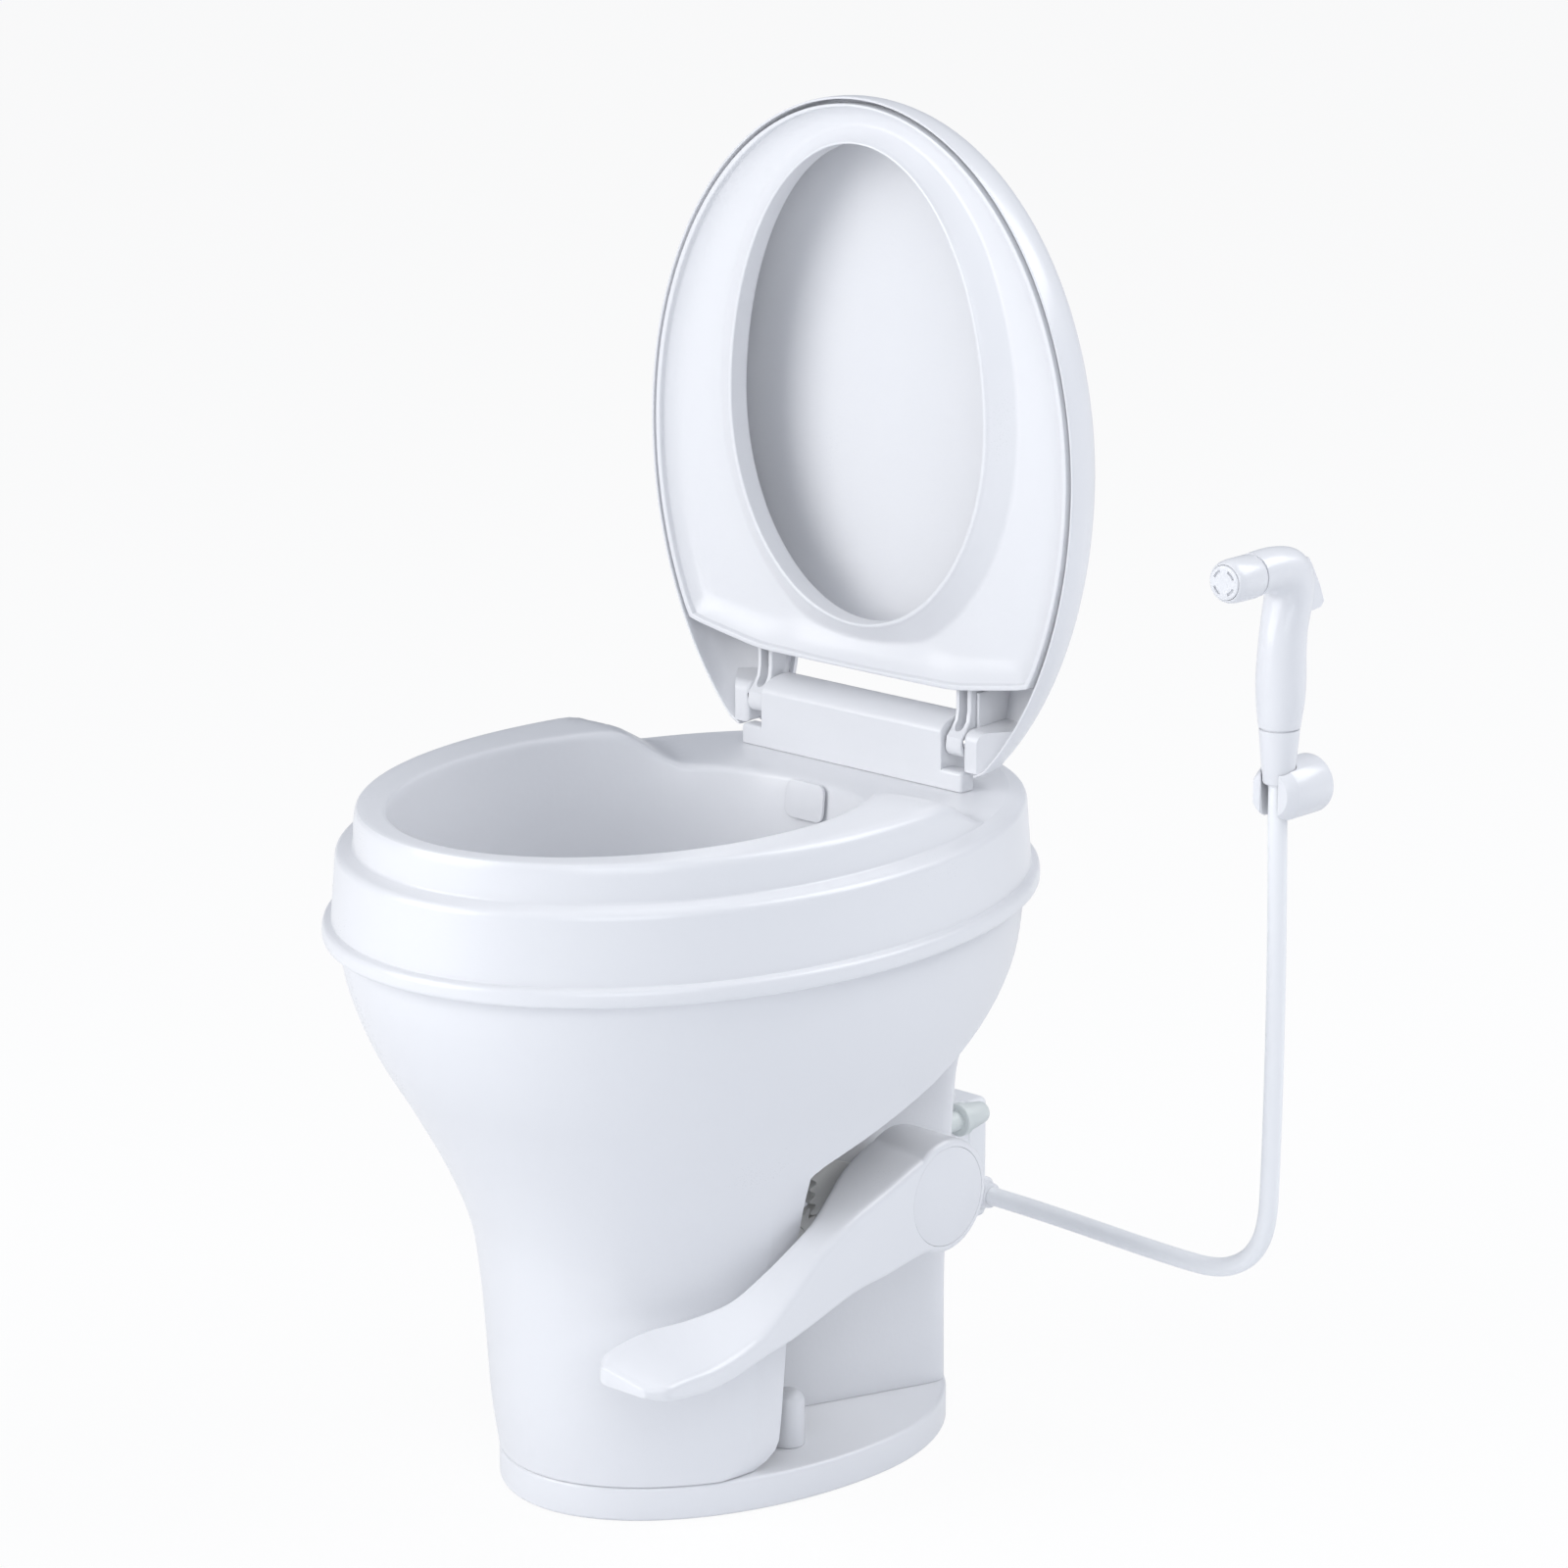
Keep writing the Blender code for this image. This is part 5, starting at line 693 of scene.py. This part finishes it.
# Flush nozzle. A small curved plate with rounded corners stands a little off the bowl's rear wall, and the
# water fans out under it.
TAPER_TOP = 0.413
drawn_in = LINER_TAPER * (TAPER_TOP - NOZZLE_Z) / (TAPER_TOP - LINER_FOOT)
nozzle_y = OPENING[3] + OPENING[2] - drawn_in - 0.0004
bpy.ops.object.select_all(action='DESELECT')
bpy.ops.mesh.primitive_cube_add(size=1.0, location=(0.0, nozzle_y - 0.0030, NOZZLE_Z),
                                scale=(0.032, 0.0019, 0.024))
nozzle = bpy.context.object
nozzle.name = "nozzle_plate"
bpy.ops.object.transform_apply(location=False, rotation=False, scale=True)
edit(nozzle)
pick(nozzle, 'edges', lambda e: abs(e.verts[0].co.y - e.verts[1].co.y) > 0.0015)
bpy.ops.mesh.bevel(offset=0.0060, segments=8, affect='EDGES')
pick(nozzle, 'edges', lambda e: max(v.co.y for v in e.verts) < -0.0005)
bpy.ops.mesh.bevel(offset=0.0006, segments=3, affect='EDGES')
for x in (-0.012, -0.008, -0.004, 0.0, 0.004, 0.008, 0.012):
    bpy.ops.mesh.select_all(action='SELECT')
    bpy.ops.mesh.bisect(plane_co=(x, nozzle_y, NOZZLE_Z), plane_no=(1, 0, 0))
bent = bmesh.from_edit_mesh(nozzle.data)
for vertex in bent.verts:
    vertex.co.y -= vertex.co.x ** 2 / (2 * OPENING[0]) - 0.10 * vertex.co.z
bmesh.update_edit_mesh(nozzle.data)
shut(nozzle)
settle(nozzle, ["flush_nozzle"])

# Seat. A hollow moulding, seen from below while it is raised: a beaded outer edge, a broad sloping channel
# and a raised flange round the hole. An ear with a U-shaped recess takes the hinge pin on either side.
SEAT_MID, HOLE_MID = 0.1715, 0.1975


def reach_of(angle, mid, half, top, low, limits):
    """Distance from the hole's middle to an egg outline cut by straight lines."""
    dx, dv = math.cos(angle), math.sin(angle)
    origin = HOLE_MID - mid
    best = 1.0
    for reach, wanted in ((top, 1), (low, -1)):
        a = (dx / half) ** 2 + (dv / reach) ** 2
        b = 2 * origin * dv / reach ** 2
        c = (origin / reach) ** 2 - 1
        root = (-b + math.sqrt(b * b - 4 * a * c)) / (2 * a)
        if (origin + root * dv) * wanted >= 0:
            best = root
    for (x0, v0), (x1, v1) in limits:
        cross = dx * (v1 - v0) - dv * (x1 - x0)
        if abs(cross) > 1e-9:
            along = (x0 * (v1 - v0) - (v0 - HOLE_MID) * (x1 - x0)) / cross
            if along > 0:
                best = blend_low(best, along)
    return best


def blend_low(first, second, soft=0.0016):
    """The lesser of two distances, with the corner between them eased."""
    gap = first - second
    return (first + second - math.sqrt(gap * gap + soft * soft)) / 2


SEAT_LIMITS = [((-0.1457, 0.0434), (-0.0825, 0.0325)), ((-0.0825, 0.0325), (0.0825, 0.0325)),
               ((0.0825, 0.0325), (0.1457, 0.0434))]
turns = [math.tau * (step + 0.5) / 180 for step in range(180)]
outer_reach = [reach_of(angle, SEAT_MID, 0.1728, 0.2187, 0.2311, SEAT_LIMITS) for angle in turns]
hole_reach = [reach_of(angle, HOLE_MID, 0.1055, 0.168, 0.1345, ()) for angle in turns]
SEAT_FACE, SEAT_BACK, CHANNEL_Y = -0.0125, 0.004, -0.0040
EAR_NEAR, EAR_FAR, EAR_GROOVE = 0.0783, 0.0909, 0.0034
profile = [
    ((0.0, 0.0, 0.0, SEAT_FACE), 0.0010), ((0.0, 0.0036, 0.0, SEAT_FACE), 0.0010),
    ((0.0, 0.0044, 0.0, SEAT_FACE + 0.0034), 0.0006), ((0.0, 0.0120, 0.0, SEAT_FACE + 0.0078), 0.0035),
    ((0.0, 0.0200, 0.0, CHANNEL_Y + 0.0014), 0.0050), ((1.0, 0.0, 0.0190, CHANNEL_Y + 0.0028), 0.0022),
    ((1.0, 0.0, 0.0042, SEAT_FACE + 0.0014), 0.0012), ((1.0, 0.0, 0.0028, SEAT_FACE), 0.0009),
    ((1.0, 0.0, 0.0, SEAT_FACE), 0.0012), ((1.0, 0.0, 0.0, SEAT_BACK), 0.0040),
    ((0.78, 0.0, 0.0, SEAT_BACK), 0.0), ((0.60, 0.0, 0.0, SEAT_BACK), 0.0),
    ((0.40, 0.0, 0.0, SEAT_BACK), 0.0), ((0.0, 0.0, 0.0, SEAT_BACK), 0.0060)]


def seat_point(turn, row):
    """A corner of the seat's profile at a turn. Where the ring is narrow, its steps draw together."""
    share, inset, hole_out, depth = row
    room = min(1.0, (outer_reach[turn] - hole_reach[turn]) / 0.046)
    reach = (outer_reach[turn] - inset * room) * (1 - share) + (hole_reach[turn] + hole_out * room) * share
    angle = turns[turn]
    return Vector((reach * math.cos(angle), depth, HINGE_Z + HOLE_MID + reach * math.sin(angle)))


def seat_profile(turn):
    """The seat's profile at one turn round the hole, as points, with its corners rounded."""
    line = []
    spots = [seat_point(turn, row) for row, size in profile]
    for place, (row, size) in enumerate(profile):
        here = spots[place]
        if size == 0.0:
            line.append(here)
            continue
        ends = []
        for other in (spots[place - 1], spots[(place + 1) % len(spots)]):
            ends.append(here.lerp(other, min(0.5, size / (other - here).length)))
        for step in range(5):
            t = step / 4
            line.append(ends[0] * (1 - t) ** 2 + here * (2 * t * (1 - t)) + ends[1] * t ** 2)
    return line


lines = [seat_profile(turn) for turn in range(len(turns))]
seat = wrap("seat_ring", [[line[place] for line in lines] for place in range(len(lines[0]))], 'LOOP', 30)
for hand in (-1, 1):
    near, far = sorted((hand * EAR_NEAR, hand * EAR_FAR))
    arc = [(-0.0068 + 0.0066 * math.cos(angle), 0.4458 + 0.0070 * math.sin(angle))
           for angle in (math.pi * (1 + step / 16) for step in range(17))]
    outline = arc + [(0.0020, 0.4540), (0.0100, 0.4660), (0.0100, 0.4850), (-0.0036, 0.4850),
                     (-0.0036, 0.4680), (-0.0048, 0.4610), (-0.0085, 0.4560), (-0.0126, 0.4520)]
    ear = plate_x("seat_ear", outline, near, far, 0.0009)
    centre = (near + far) / 2
    groove = box("ear_groove", (centre - EAR_GROOVE, -0.0200, 0.4550), (centre + EAR_GROOVE, 0.0084, 0.4840))
    edit(groove)
    pick(groove, 'edges',
         lambda e: abs(e.verts[0].co.y - e.verts[1].co.y) > 0.01 and e.verts[0].co.z < 0.46)
    bpy.ops.mesh.bevel(offset=0.0032, segments=6, affect='EDGES')
    shut(groove)
    combine(ear, groove, 'DIFFERENCE')
    combine(seat, ear, 'UNION')
drill(seat, hinge_point(-0.0995), hinge_point(0.0995), PIN_BORE)
settle(seat, ["seat"], "seat", sharp=30)

# Lid. A shallow dish whose skirt wraps the raised seat. It is notched at its foot for the hinge block, and
# a rounded knuckle inside each lower corner takes the hinge pin.
LID_SHARES = ((0.0, 0.0), (0.16, 0.0005), (0.30, 0.006), (0.50, 0.026), (0.66, 0.060), (0.80, 0.12),
              (0.93, 0.27), (0.98, 0.50), (1.0, 0.97))
LID_LIMITS = [((-0.201, -0.0205), (0.201, -0.0205))]
lid_outline = [reach_of(angle, SEAT_MID, 0.1773, 0.2231, 0.2379, LID_LIMITS) for angle in turns]
LID_FACE, LID_DEPTH, LID_WALL, LID_CROWN = -0.0115, 0.051, 0.0018, 0.0030
WINDOW_HALF, POCKET_HALF, INSIDE = 0.0885, 0.1000, 0.0009
KNUCKLE_NEAR, KNUCKLE_FAR = 0.0916, 0.1250
SIDE_WALL_NEAR, SIDE_WALL_FAR = 0.0913, 0.0937


def lid_row(inset, shrink, depth):
    """One ring of the lid: its outline drawn in, then shrunk towards the middle, at a depth."""
    return [Vector(((reach - inset) * (1 - shrink) * math.cos(angle), depth,
                    HINGE_Z + HOLE_MID + (reach - inset) * (1 - shrink) * math.sin(angle)))
            for reach, angle in zip(lid_outline, turns)]


marks = [0.0, 0.01, 0.03, 0.08] + [0.16 + 0.04 * step for step in range(18)]
marks += [0.89, 0.915, 0.935, 0.955, 0.975, 0.99, 1.0]
outer, inner, within = [], [], [lid_row(INSIDE, 0.0, -0.04)]
for place in marks:
    shrink = max(0.0, eased(LID_SHARES, place))
    outer.append(lid_row(0.0, shrink, LID_FACE + LID_DEPTH * place))
    inner.append(lid_row(LID_WALL, shrink, LID_FACE + (LID_DEPTH - LID_CROWN) * place))
    if place > 0.05:
        within.append(lid_row(INSIDE, shrink, LID_FACE - INSIDE + LID_DEPTH * place))
outer[0] = lid_row(0.0007, 0.0, LID_FACE)
outer[1] = lid_row(0.0002, 0.0, LID_FACE + 0.0003)
inner[0] = lid_row(LID_WALL - 0.0007, 0.0, LID_FACE)
inner[1] = lid_row(LID_WALL - 0.0002, 0.0, LID_FACE + 0.0003)
lid = wrap("lid_dish", list(reversed(outer)) + inner, 'FILL', 30)
combine(lid, easy_box("lid_window", (-WINDOW_HALF, -0.03, 0.390), (WINDOW_HALF, 0.06, HINGE_Z + 0.026),
                      0.004), 'DIFFERENCE')
combine(lid, box("lid_pocket", (-POCKET_HALF, -0.03, 0.390), (POCKET_HALF, 0.0165, HINGE_Z + 0.0325)),
        'DIFFERENCE')
inside = wrap("lid_inside", within, 'FILL')
for hand in (-1, 1):
    near, far = sorted((hand * KNUCKLE_NEAR, hand * KNUCKLE_FAR))
    arc = [(-0.0048 - 0.0072 * math.cos(angle), 0.4502 + 0.0072 * math.sin(angle))
           for angle in (math.pi / 2 * step / 10 for step in range(11))]
    outline = [(-0.0120, 0.4310)] + arc + [(0.0320, 0.4585), (0.0320, 0.4310)]
    knuckle = plate_x("lid_knuckle", outline, near, far, 0.0028)
    skew = Matrix.Rotation(math.radians(hand * 50), 3, 'Z')
    trim = easy_box("knuckle_trim", (-0.05, -0.03, -0.03), (0.05, 0.0, 0.03), 0.001, 1)
    trim.data.transform(Matrix.Translation((hand * 0.1030, -0.0120, 0.448)) @ skew.to_4x4())
    combine(knuckle, trim, 'DIFFERENCE')
    shape_with(knuckle, 'BOOLEAN', operation='INTERSECT', object=inside, solver='EXACT')
    combine(lid, knuckle, 'UNION')
    drill(lid, hinge_point(hand * 0.090), hinge_point(hand * 0.0998), PIN_BORE)
    near, far = sorted((hand * SIDE_WALL_NEAR, hand * SIDE_WALL_FAR))
    side_wall = easy_box("window_wall", (near, 0.0010, 0.4300), (far, 0.0345, 0.4790), 0.0006, 2)
    shape_with(side_wall, 'BOOLEAN', operation='INTERSECT', object=inside, solver='EXACT')
    combine(lid, side_wall, 'UNION')
bpy.data.objects.remove(inside)
settle(lid, ["lid"], "lid", sharp=30)

# Foot pedal. A round hub on the shaft flows into a deep arm beside the shell and ends in a broad pad. It is
# one moulding with soft edges.
REACH, PAD_WIDTH, HUB_RADIUS, HUB_WIDTH, FACE_X = 0.2565, 0.052, 0.0365, 0.0465, 0.145
TIP_SHARE, TIP_ROUND = 0.955, 0.0085
ARM_SHARES = (
    (0.0, 0.93, 0.93, -0.93, 0.894), (0.09, 0.84, 0.80, -0.90, 0.894), (0.20, 0.62, 0.52, -1.02, 0.80),
    (0.32, 0.36, 0.22, -1.12, 0.56), (0.40, 0.15, -0.05, -1.26, 0.42), (0.48, -0.06, -0.42, -1.42, 0.36),
    (0.56, -0.44, -0.86, -1.56, 0.44), (0.64, -0.84, -1.24, -1.66, 0.60), (0.73, -1.08, -1.43, -1.80, 0.86),
    (0.82, -1.16, -1.52, -1.88, 1.05), (0.91, -1.22, -1.51, -1.84, 1.08), (0.975, -1.30, -1.53, -1.79, 1.04),
    (1.0, -1.37, -1.56, -1.74, 0.95))
rows = []
for step in range(81):
    share = step / 80
    top_left, top_right, under, width = (eased([(row[0], row[part]) for row in ARM_SHARES], share)
                                         for part in (1, 2, 3, 4))
    y = PEDAL_Y - REACH * share
    left = FACE_X - PAD_WIDTH * width
    right = FACE_X - TIP_ROUND * max(0.0, (share - TIP_SHARE) / (1.0 - TIP_SHARE)) ** 2
    spots = [Vector((x, y, PEDAL_Z + HUB_RADIUS * height)) for x, height in (
        (left, under), (right, under), (right, top_right), (left, top_left))]
    ring = []
    for place, here in enumerate(spots):
        before, after = spots[place - 1], spots[(place + 1) % 4]
        size = 0.0055 if place > 1 else 0.0035
        starts = here.lerp(before, min(0.42, size / (before - here).length))
        ends = here.lerp(after, min(0.42, size / (after - here).length))
        for part in range(6):
            t = part / 5
            ring.append(starts * (1 - t) ** 2 + here * (2 * t * (1 - t)) + ends * t ** 2)
    rows.append(ring)
tip = rows[-1]
centre = sum(tip, Vector()) / len(tip)
for shrink, ahead in ((0.96, 0.0012), (0.86, 0.0022), (0.70, 0.0026)):
    rows.append([centre + (point - centre) * shrink - Vector((0, ahead, 0)) for point in tip])
arm = wrap("pedal_arm", rows, 'FILL', 38)
start = axle + side * (FACE_X - HUB_WIDTH)
pedal = rod("foot_pedal", start, axle + side * FACE_X, HUB_RADIUS, 128)
edit(pedal)
pick(pedal, 'edges', broken_edge)
bpy.ops.mesh.bevel(offset=0.0035, segments=6, affect='EDGES')
shut(pedal)
combine(pedal, arm, 'UNION')
drill(pedal, start - side * 0.01, axle + side * 0.140, 0.0083, 64)
drill(pedal, axle + side * 0.1425, axle + side * 0.15, 0.0318, 128)
settle(pedal, ["pedal"], "pedal", sharp=38)

# Hub cap. A thin disc of the pedal's white plastic snaps into the hub's face and hides the shaft's end.
# A hairline gap shows round it.
cap = rod("hub_cap_disc", axle + side * 0.1428, axle + side * 0.1450, 0.0316, 128)
edit(cap)
pick(cap, 'edges', broken_edge)
bpy.ops.mesh.bevel(offset=0.0002, segments=2, affect='EDGES')
shut(cap)
settle(cap, ["pedal_cap"], "pedal")

# Water inlet. A cap screws on the stem that looks out of the column's rear corner. It is moulded in
# grey-green plastic, in steps from the stem to its tip.
green = moulded("grey_green_plastic", (0.690, 0.725, 0.715), (0.655, 0.695, 0.685), 0.42, 300.0, 0.0005)


def turn(name, start, axis, stations, sides=64):
    """A round piece: a disc drawn out along its axis, and widened or narrowed from station to station."""
    bpy.ops.object.select_all(action='DESELECT')
    bpy.ops.mesh.primitive_circle_add(vertices=sides, radius=stations[0][1], fill_type='NGON',
                                      location=start + axis * stations[0][0],
                                      rotation=axis.to_track_quat('Z', 'Y').to_euler())
    piece = bpy.context.object
    piece.name = name
    edit(piece)
    bpy.ops.mesh.select_mode(type='FACE')
    bpy.ops.mesh.select_all(action='SELECT')
    at, size = stations[0]
    for along, radius in stations[1:]:
        bpy.ops.mesh.extrude_region_move(TRANSFORM_OT_translate={"value": axis * (along - at)})
        bpy.ops.transform.resize(value=(radius / size,) * 3, center_override=start + axis * along)
        at, size = along, radius
    return shut(piece)


low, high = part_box("inlet_cap")
length = high.y - low.y
STEM = 0.0146
stations = [(0.0, 0.0065), (0.0140, 0.0065), (0.0140, 0.0102), (STEM, 0.0108)]
stations += [(STEM + (length - STEM) * share, radius) for share, radius in (
    (0.18, 0.0108), (0.20, 0.0102), (0.205, 0.0088), (0.40, 0.0091), (0.66, 0.0081), (0.92, 0.0071),
    (0.98, 0.0064), (1.0, 0.0050))]
inlet = turn("inlet_fitting", Vector((0.062, low.y, 0.188)), Vector((0, 1, 0)), stations)
settle(inlet, ["inlet_cap"], finish=green)

# Water valve. A soft white housing with a bolted cover is fixed to the pad on the column's back, and the
# hose screws on to its side with a stepped nut.
soft = moulded("soft_white_plastic", (0.835, 0.845, 0.862), (0.815, 0.826, 0.845), 0.46, 300.0, 0.0006)
valve = easy_box("valve_housing", (-0.012, 0.0363, 0.104), (0.040, 0.0763, 0.186), 0.0045, 5)
flange = easy_box("valve_flange", (-0.0125, 0.0560, 0.1035), (0.0405, 0.0600, 0.1865), 0.0018, 3)
combine(valve, flange, 'UNION')
for x in (-0.004, 0.032):
    for z in (0.112, 0.178):
        head = turn("cover_screw", Vector((x, 0.0755, z)), Vector((0, 1, 0)),
                    [(0.0, 0.0032), (0.0014, 0.0032), (0.0018, 0.0026)], 32)
        combine(valve, head, 'UNION')
settle(valve, ["water_valve"], finish=soft, sharp=32)
NUT_FACETS = 48
nut_start = Vector((0.0403, 0.062, 0.1245))


def grip_facet(face):
    """Whether a face is one of the nut's long side facets, every second one round its axis."""
    out = face.calc_center_median() - nut_start
    facet = math.floor(math.atan2(out.z, out.y) / math.tau * NUT_FACETS)
    return abs(face.normal.x) < 0.1 and face.calc_area() > 4e-6 and facet % 2 == 0


nut = turn("valve_hose_nut", nut_start, side,
           [(0.0, 0.0108), (0.0006, 0.0114), (0.0080, 0.0114), (0.0086, 0.0108), (0.0094, 0.0090),
            (0.0140, 0.0084), (0.0154, 0.0081)], NUT_FACETS)
edit(nut)
pick(nut, 'faces', grip_facet)
bpy.ops.mesh.inset(thickness=0.0002, use_individual=True)
bpy.ops.transform.shrink_fatten(value=-0.0005)
shut(nut)
settle(nut, ["hose_nut"])

# Sprayer. A cone nut, a grip that bends over into the head, and a collar that holds the slotted face. All
# are white mouldings, and the grip has a pocket in its back for the thumb lever.
SPRAY_X, SPRAY_Y, HEAD_Z, CONE_LOW, CONE_HIGH = 0.282, 0.062, 0.578, 0.4435, 0.479
GRIP_RADIUS, GRIP_LENGTH, GRIP_FORWARD, COLLAR_LENGTH = 0.0156, 0.099, 0.0305, 0.0257
cone = turn("sprayer_cone_nut", Vector((SPRAY_X, SPRAY_Y, CONE_LOW)), up,
            [(0.0, 0.0084), (0.0006, 0.0093), (0.0016, 0.0098), (0.0336, 0.0126), (0.0344, 0.0125),
             (0.0345, 0.0112), (0.0355, 0.0112)])
settle(cone, ["cone_nut"], "sprayer")
GRIP_SHARES = (
    (0.00, 0.00, 0.0, 0.83, 1.0), (0.07, 0.00, 0.0, 0.89, 1.0), (0.17, -0.01, 0.0, 0.96, 1.0),
    (0.30, -0.01, 0.0, 0.99, 1.0), (0.46, -0.02, 2.0, 0.96, 1.0), (0.60, -0.05, 8.0, 0.94, 1.06),
    (0.73, -0.12, 18.0, 0.96, 1.24), (0.86, -0.16, 34.0, 0.98, 1.30), (0.955, -0.02, 56.0, 0.97, 1.14),
    (1.0, 0.34, 76.0, 0.91, 1.0), (1.005, 0.70, 88.0, 0.87, 1.0), (1.0, 1.0, 90.0, 0.86, 1.0))
grip = []
for step in range(81):
    place = (len(GRIP_SHARES) - 1) * step / 80
    height, forward, lean, width, depth = (
        eased([(at, row[part]) for at, row in enumerate(GRIP_SHARES)], place) for part in range(5))
    tilt = math.radians(lean)
    middle = Vector((SPRAY_X, SPRAY_Y - GRIP_FORWARD * forward, CONE_HIGH + GAP + GRIP_LENGTH * height))
    back = Vector((0, math.cos(tilt), math.sin(tilt)))
    ring = []
    for part in range(64):
        angle = math.tau * part / 64
        reach = GRIP_RADIUS * width * math.sin(angle) * (depth if part < 32 else 1.0)
        ring.append(middle + side * (GRIP_RADIUS * width * math.cos(angle)) + back * reach)
    grip.append(ring)
handle = wrap("sprayer_grip", grip, 'FILL', 40)
combine(handle, box("trigger_pocket", (SPRAY_X - 0.0073, SPRAY_Y + 0.0068, 0.548),
                    (SPRAY_X + 0.0073, 0.110, 0.5833)), 'DIFFERENCE')
settle(handle, ["spray_handle"], "sprayer", sharp=40)
ahead = Vector((0, -1, 0))
collar_start = Vector((SPRAY_X, 0.0312, HEAD_Z))
collar = turn("sprayer_collar", collar_start, ahead,
              [(0.0, 0.0126), (0.0006, 0.0131), (0.0026, 0.0136), (0.0180, 0.0135), (0.0220, 0.0131),
               (0.0244, 0.0123), (0.0253, 0.0117), (COLLAR_LENGTH, 0.0112)], 96)
end = collar_start + ahead * COLLAR_LENGTH
drill(collar, end - ahead * 0.005, end + ahead * 0.01, 0.0109, 96)
settle(collar, ["spray_collar"], "sprayer", sharp=32)
face = turn("sprayer_face", end - ahead * 0.0047, ahead,
            [(0.0, 0.0100), (0.0004, 0.0106), (0.0052, 0.0106), (0.0058, 0.0101), (0.0060, 0.0094)], 96)
for quarter in range(4):
    ring = []
    for radius, steps in ((0.0066, range(9)), (0.0083, range(8, -1, -1))):
        for step in steps:
            angle = math.pi / 2 * quarter + math.pi / 4 + math.radians(24) * (step - 4) / 4
            ring.append((radius * math.cos(angle), radius * math.sin(angle)))
    tool = wrap("face_slot", [[(SPRAY_X + x, end.y - 0.0015 + depth, HEAD_Z + z) for x, z in ring]
                              for depth in (-0.004, 0.0018)], 'FILL')
    combine(face, tool, 'DIFFERENCE')
settle(face, ["spray_face"], "sprayer", sharp=32)

# Wall clip. A short round post screwed to the wall, with an upright tapered hole that the cone nut drops
# into. It is slotted open to the front and cut flat on its left.
CLIP_Z = 0.4380
clip = turn("wall_holder", Vector((SPRAY_X, 0.053, CLIP_Z)), Vector((0, 1, 0)),
            [(0.0, 0.0140), (0.0007, 0.0147), (0.0066, 0.0180), (0.0078, 0.0185), (0.0395, 0.0185),
             (0.0410, 0.0181), (0.0420, 0.0168)], 96)
slope = (0.0120 - 0.0098) / 0.0355
low_radius = 0.0104 + slope * (CLIP_Z - 0.0225 - CONE_LOW)
combine(clip, turn("cone_hole", Vector((SPRAY_X, SPRAY_Y, CLIP_Z - 0.0225)), up,
                   [(0.0, low_radius), (0.045, low_radius + slope * 0.045)], 64), 'DIFFERENCE')
for left, right, rear in ((-0.007, 0.007, SPRAY_Y), (-0.03, -0.0122, 0.0860)):
    gap = box("clip_gap", (SPRAY_X + left, 0.04, CLIP_Z - 0.03), (SPRAY_X + right, rear, CLIP_Z + 0.03))
    combine(clip, gap, 'DIFFERENCE')
shape_with(clip, 'BEVEL', width=0.0006, segments=2, limit_method='ANGLE', angle_limit=math.radians(45))
edit(clip)
shut(clip)
settle(clip, ["wall_clip"])

# Hinge pins. A short bright steel bar runs from the block through the ear into the knuckle on either side,
# with its ends broken.
steel, shader, spot = new_finish("bright_steel")
along = spot.node("ShaderNodeMapping", {"Vector": spot, "Scale": (0.05, 1.0, 1.0)})
drawn = spot.node("ShaderNodeTexNoise", {"Vector": along, "Scale": 900.0, "Detail": 2.0})
stain = spot.node("ShaderNodeTexNoise", {"Vector": spot, "Scale": 60.0, "Detail": 3.0})
spot.node("ShaderNodeMix", {0: stain, 6: (0.66, 0.66, 0.68, 1.0), 7: (0.56, 0.56, 0.57, 1.0)},
          {"data_type": 'RGBA'}, 2).feed(shader, "Base Color")
(drawn * 0.14 + stain * 0.10 + 0.16).feed(shader, "Roughness")
shader.inputs["Metallic"].default_value = 1.0
spot.node("ShaderNodeBump", {"Height": drawn, "Strength": 0.1, "Distance": 0.0003}).feed(shader, "Normal")
for hand, word in ((-1, "right"), (1, "left")):
    pin = turn("hinge_bar_" + word, hinge_point(0.0613 * hand), side * hand,
               [(0.0, 0.0034), (0.0006, 0.0040), (0.0370, 0.0040), (0.0378, 0.0036), (0.0381, 0.0030)])
    settle(pin, ["hinge_pin_" + word], finish=steel)

# Inner pieces. The valve body, gears and ball are natural nylon, the pins, bolts and spring are steel, and
# the seals and bumpers are black rubber. They and the white thumb lever keep their solids.
nylon = moulded("natural_nylon", (0.800, 0.800, 0.775), (0.770, 0.768, 0.740), 0.48, 220.0, 0.0006)
rubber = moulded("black_rubber", (0.055, 0.055, 0.060), (0.075, 0.075, 0.080), 0.74, 420.0, 0.0008)
finishes = {"nylon": nylon, "rubber": rubber, "steel": steel, "grey_green": green,
            "white_soft": soft, "white_gloss": white}
for row in frame["record"]["subparts"]:
    node = frame["nodes"][row["node"]]
    node.data.materials.clear()
    node.data.materials.append(finishes[row["material_slot"]])
